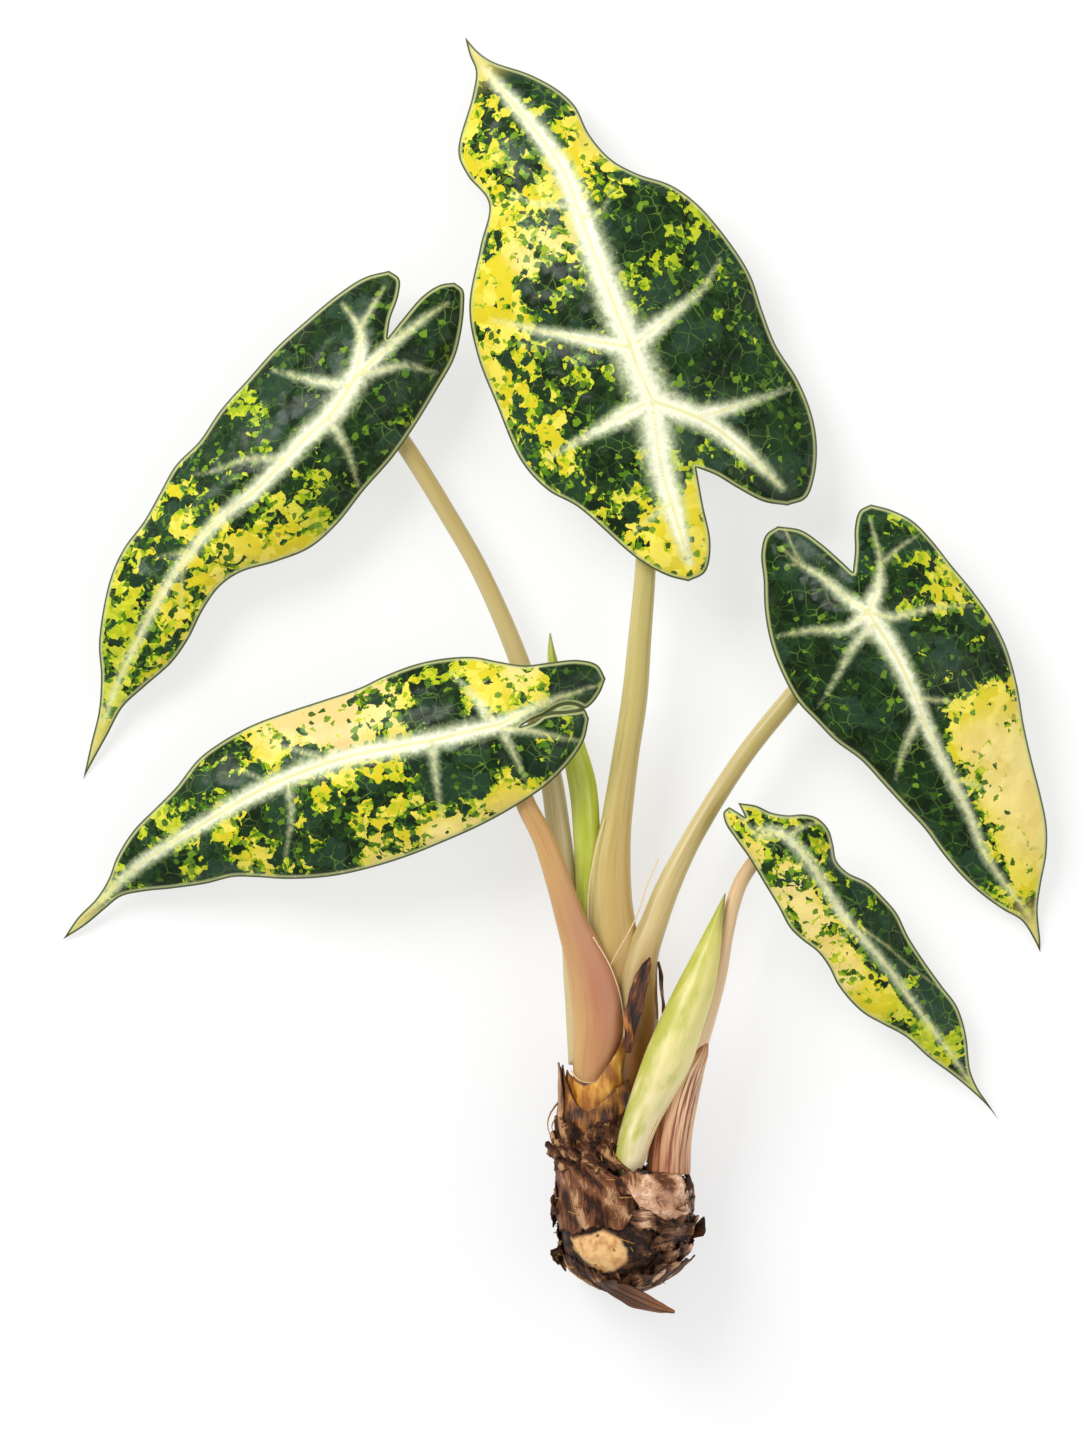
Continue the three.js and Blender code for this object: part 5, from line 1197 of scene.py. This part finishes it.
# %% Rims
rim_skin = fibrous("dry_pale_rim", [(0, "E9D3A8"), (1, "DEC394")], "C0985C", 0.5)
gold_fibre = fibrous("gold_brown_fibre", [(0, "8A5C28"), (1, "C9964A")], "5A3414", 0.5)
RIMS = {
    "lower_left_rim": ("petiole_lower_left", "pink_petiole", 0.22, [
        (11.4, -79.4, 29.6), (16.4, -88, 28), (19.6, -97.4, 26.4), (20.7, -106, 25.8), (20.2, -113, 26.6),
        (17.4, -118.2, 27.8), (14.2, -121.8, 28.2), (10.4, -123.2, 28), (7, -122.2, 27.4),
        (4.8, -119.5, 25.8)]),
    "right_rim": ("petiole_right", "petiole", 0.22, [
        (31, -56, 24), (27.6, -64, 25.2), (25, -72, 25.8), (21.6, -79, 26), (17.6, -86, 26),
        (15.8, -90, 25.8)]),
    "top_rim": ("petiole_top", "petiole", 0.2,
                [(14.9, -44, 24), (12.6, -52, 24.8), (10.9, -60, 25.2), (10, -68, 25), (9.9, -76, 24.6)]),
    "shoot_rim": ("shoot_cataphyll", "green_shoot", 0.28, [
        (50.2, -70, 28.6), (49, -80, 30.4), (47.2, -92, 31.8), (44.6, -103, 32.6), (41, -114, 33.4),
        (36.6, -123, 34),
        (31.6, -133, 34), (27, -143, 33), (24.4, -150, 31)]),
}
for name, (node, slot, size, path) in RIMS.items():
    make_stalk(name, node, slot, [(*point, size, size) for point in path], rim_skin, sides=8, per_span=8)


# %% Fibres
def make_fibres(name, node, roots, ends, bends, radius, material):
    """Tapered tubes: path = root + t * (end - root) + 4t(1 - t) * bend, radius * (1 - 0.8t), one row per
    fibre."""
    t, turn = np.linspace(0, 1, 9), np.linspace(0, 2 * np.pi, 7)
    path = roots[:, None] + (ends - roots)[:, None] * t[:, None] + bends[:, None] * (4 * t * (1 - t))[:, None]
    tangent = np.gradient(path, axis=1)
    tangent /= np.linalg.norm(tangent, axis=2, keepdims=True)
    across = np.cross(tangent, (0.3, 0.2, 1.0))
    across /= np.linalg.norm(across, axis=2, keepdims=True)
    front = np.cross(across, tangent)
    size = (radius * (1 - 0.8 * t))[None, :, None, None]
    ring = size * (across[:, :, None] * np.cos(turn)[:, None] + front[:, :, None] * np.sin(turn)[:, None])
    tubes = path[:, :, None] + ring
    tubes = np.concatenate([path[:, :1, None].repeat(7, 2), tubes, path[:, -1:, None].repeat(7, 2)], axis=1)
    quads = np.vstack([grid_quads(11, 7, first * 77) for first in range(len(roots))])
    share = np.tile(np.repeat(np.r_[0, t, 1], 7), len(roots))
    return make_piece(name, node, tubes.reshape(-1, 3), quads, {"share": share, "side": share * 0},
                      material=material)


random = np.random.default_rng(11)
count = 90
angle = np.radians(random.uniform(-118, 112, count))
height = random.choice([-151, -158, -166, -172, -179, -183], count) + random.normal(0, 1.6, count)
core = np.asarray(BULB_CORE)
radius = np.interp(height, core[:, 0], core[:, 3]) + 1.2
roots = np.column_stack([20.5 + radius * np.sin(angle), height, 20.2 + radius * np.cos(angle)])
away = np.column_stack([np.sin(angle), random.uniform(-0.6, 1.6, count),
                        np.cos(angle)]) * random.uniform(0.3, 1.3, count)[:, None]
along_scale = np.column_stack([np.cos(angle), 0 * angle,
                               -np.sin(angle)]) * random.normal(0, 3.4, count)[:, None]
scar_side = (roots[:, 0] < 23) & (roots[:, 2] > 28) & (height > -181) & (height < -165)
roots, away, along_scale, angle = (values[~scar_side] for values in (roots, away, along_scale, angle))
fibres = make_fibres("bulb_fibres", "bulb_scale_band", roots, roots + away + along_scale,
                     np.column_stack([np.sin(angle), 0 * angle, np.cos(angle)]) * 0.6, 0.24, gold_fibre)
stem_roots = np.array([(1.4, -129, 19), (1.6, -133, 21), (16, -150, 30), (17, -150, 30.5), (15.2, -149, 31),
                       (0.2, -142, 21.5), (16.4, -150, 31)])
stem_ends = np.array([(0.6, -142, 20), (0.2, -139, 22), (15.4, -141.5, 31), (17.2, -142.5, 31),
                      (14, -143, 32), (-1.2, -138, 22), (18, -144, 31)])
stem_bends = np.array([(-3.2, 0, 1), (-1.8, 0, 1), (-1, 0, 1.2), (0.6, 0, 1), (-0.6, 0, 1), (-0.8, 0, 1),
                       (0.8, 0, 1)], float)
make_fibres("stem_fibres", "stem_folded_scale", stem_roots, stem_ends, stem_bends, 0.34,
            gold_fibre)
print(fibres.name, len(fibres.data.polygons), "faces")

# %% [markdown]
# ## The bulb's flesh
# Under the scales the corm is firm and cream. It shows where the scales have come away at the lower left, as
# a bare
# scar with a brown rim and a few specks. Elsewhere it lies in the shade of the scales and is nearly
# black-brown.

# %% Bulb
SCAR = [(4.7, -169.5), (9, -168.5), (14, -166.8), (20, -169.5), (21.7, -173), (21.5, -176), (17.5, -179.5),
        (13.5, -179.3), (9, -176.5), (6, -173)]
# Cut corm is starchy and dry, so it is matt, and its grain and specks show more than any gloss.
flesh, tree, shader = new_material("bare_corm_flesh", 0.7, 0.3)
place = add_node(tree, "TexCoord", {}, "Object")
scar = add_node(tree, "Attribute", {}, "Fac", attribute_name="scar")
spots = add_node(tree, "TexNoise", {"Vector": place, "Scale": 1 / (2.5 * MM), "Detail": 5.0})
speck = add_node(tree, "TexVoronoi", {"Vector": place, "Scale": 1 / (3.4 * MM)}, "Distance")
bare = layer(tree, "E9BC80", "BE7F45", spots, 0.42, 0.68, 0, 0.8)
bare = layer(tree, bare, "5B2E12", weighted(tree, [(spots, -0.5)], speck), -0.16, -0.02, 0.85, 0)
shaded = layer(tree, "1E0F08", "5A3A22", spots, 0.4, 0.65)
flesh_colour = layer(tree, shaded, bare, weighted(tree, [(spots, 2.0)], scar), 0.4, 1.7)
cover(tree, shader, flesh_colour, spots, 0.5, 0.8)
print("flesh:", len(tree.nodes), "nodes")


def make_bulb():
    """The core as a turned form: x = centre + a sin, z = centre + b cos, with lumps and a raised scar."""
    core = np.asarray(BULB_CORE, float)
    y = np.linspace(core[0, 0], core[-1, 0], 110)
    angle = np.linspace(0, 2 * np.pi, 161)
    x0, z0, a, b = (np.interp(y, core[:, 0], core[:, k])[:, None] for k in (1, 2, 3, 4))
    ends = np.clip(np.minimum(y - y[0], y[-1] - y) / 2, 0, 1)[:, None] ** 0.5
    lumps = 0.25 * np.sin(3 * angle + y[:, None] / 3) + 0.15 * np.sin(7 * angle - y[:, None] / 2)
    x, z = x0 + (a + lumps) * ends * np.sin(angle), z0 + (b + lumps) * ends * np.cos(angle)
    grid = np.stack([x, y[:, None] + 0 * angle, z], -1)
    flat = grid.reshape(-1, 3)
    line = np.asarray(SCAR + SCAR[:1], float)
    distance = nearest(flat, line)[0]
    angle_sum = np.zeros(len(flat))
    for a0, b0 in zip(line[:-1], line[1:]):
        va, vb = flat[:, :2] - a0, flat[:, :2] - b0
        angle_sum += np.arctan2(va[:, 0] * vb[:, 1] - va[:, 1] * vb[:, 0], (va * vb).sum(1))
    inside = (np.abs(angle_sum) > np.pi) & (flat[:, 2] > 20)
    scar = np.where(inside, distance, -distance)
    scar = np.where(flat[:, 2] > 20, scar, -9.0)
    flat[:, 2] += 0.8 * np.clip(scar / 2, 0, 1)
    return make_piece("bulb_flesh", "bulb", flat, grid_quads(*grid.shape[:2]), {"scar": scar},
                      material=flesh)


make_bulb()
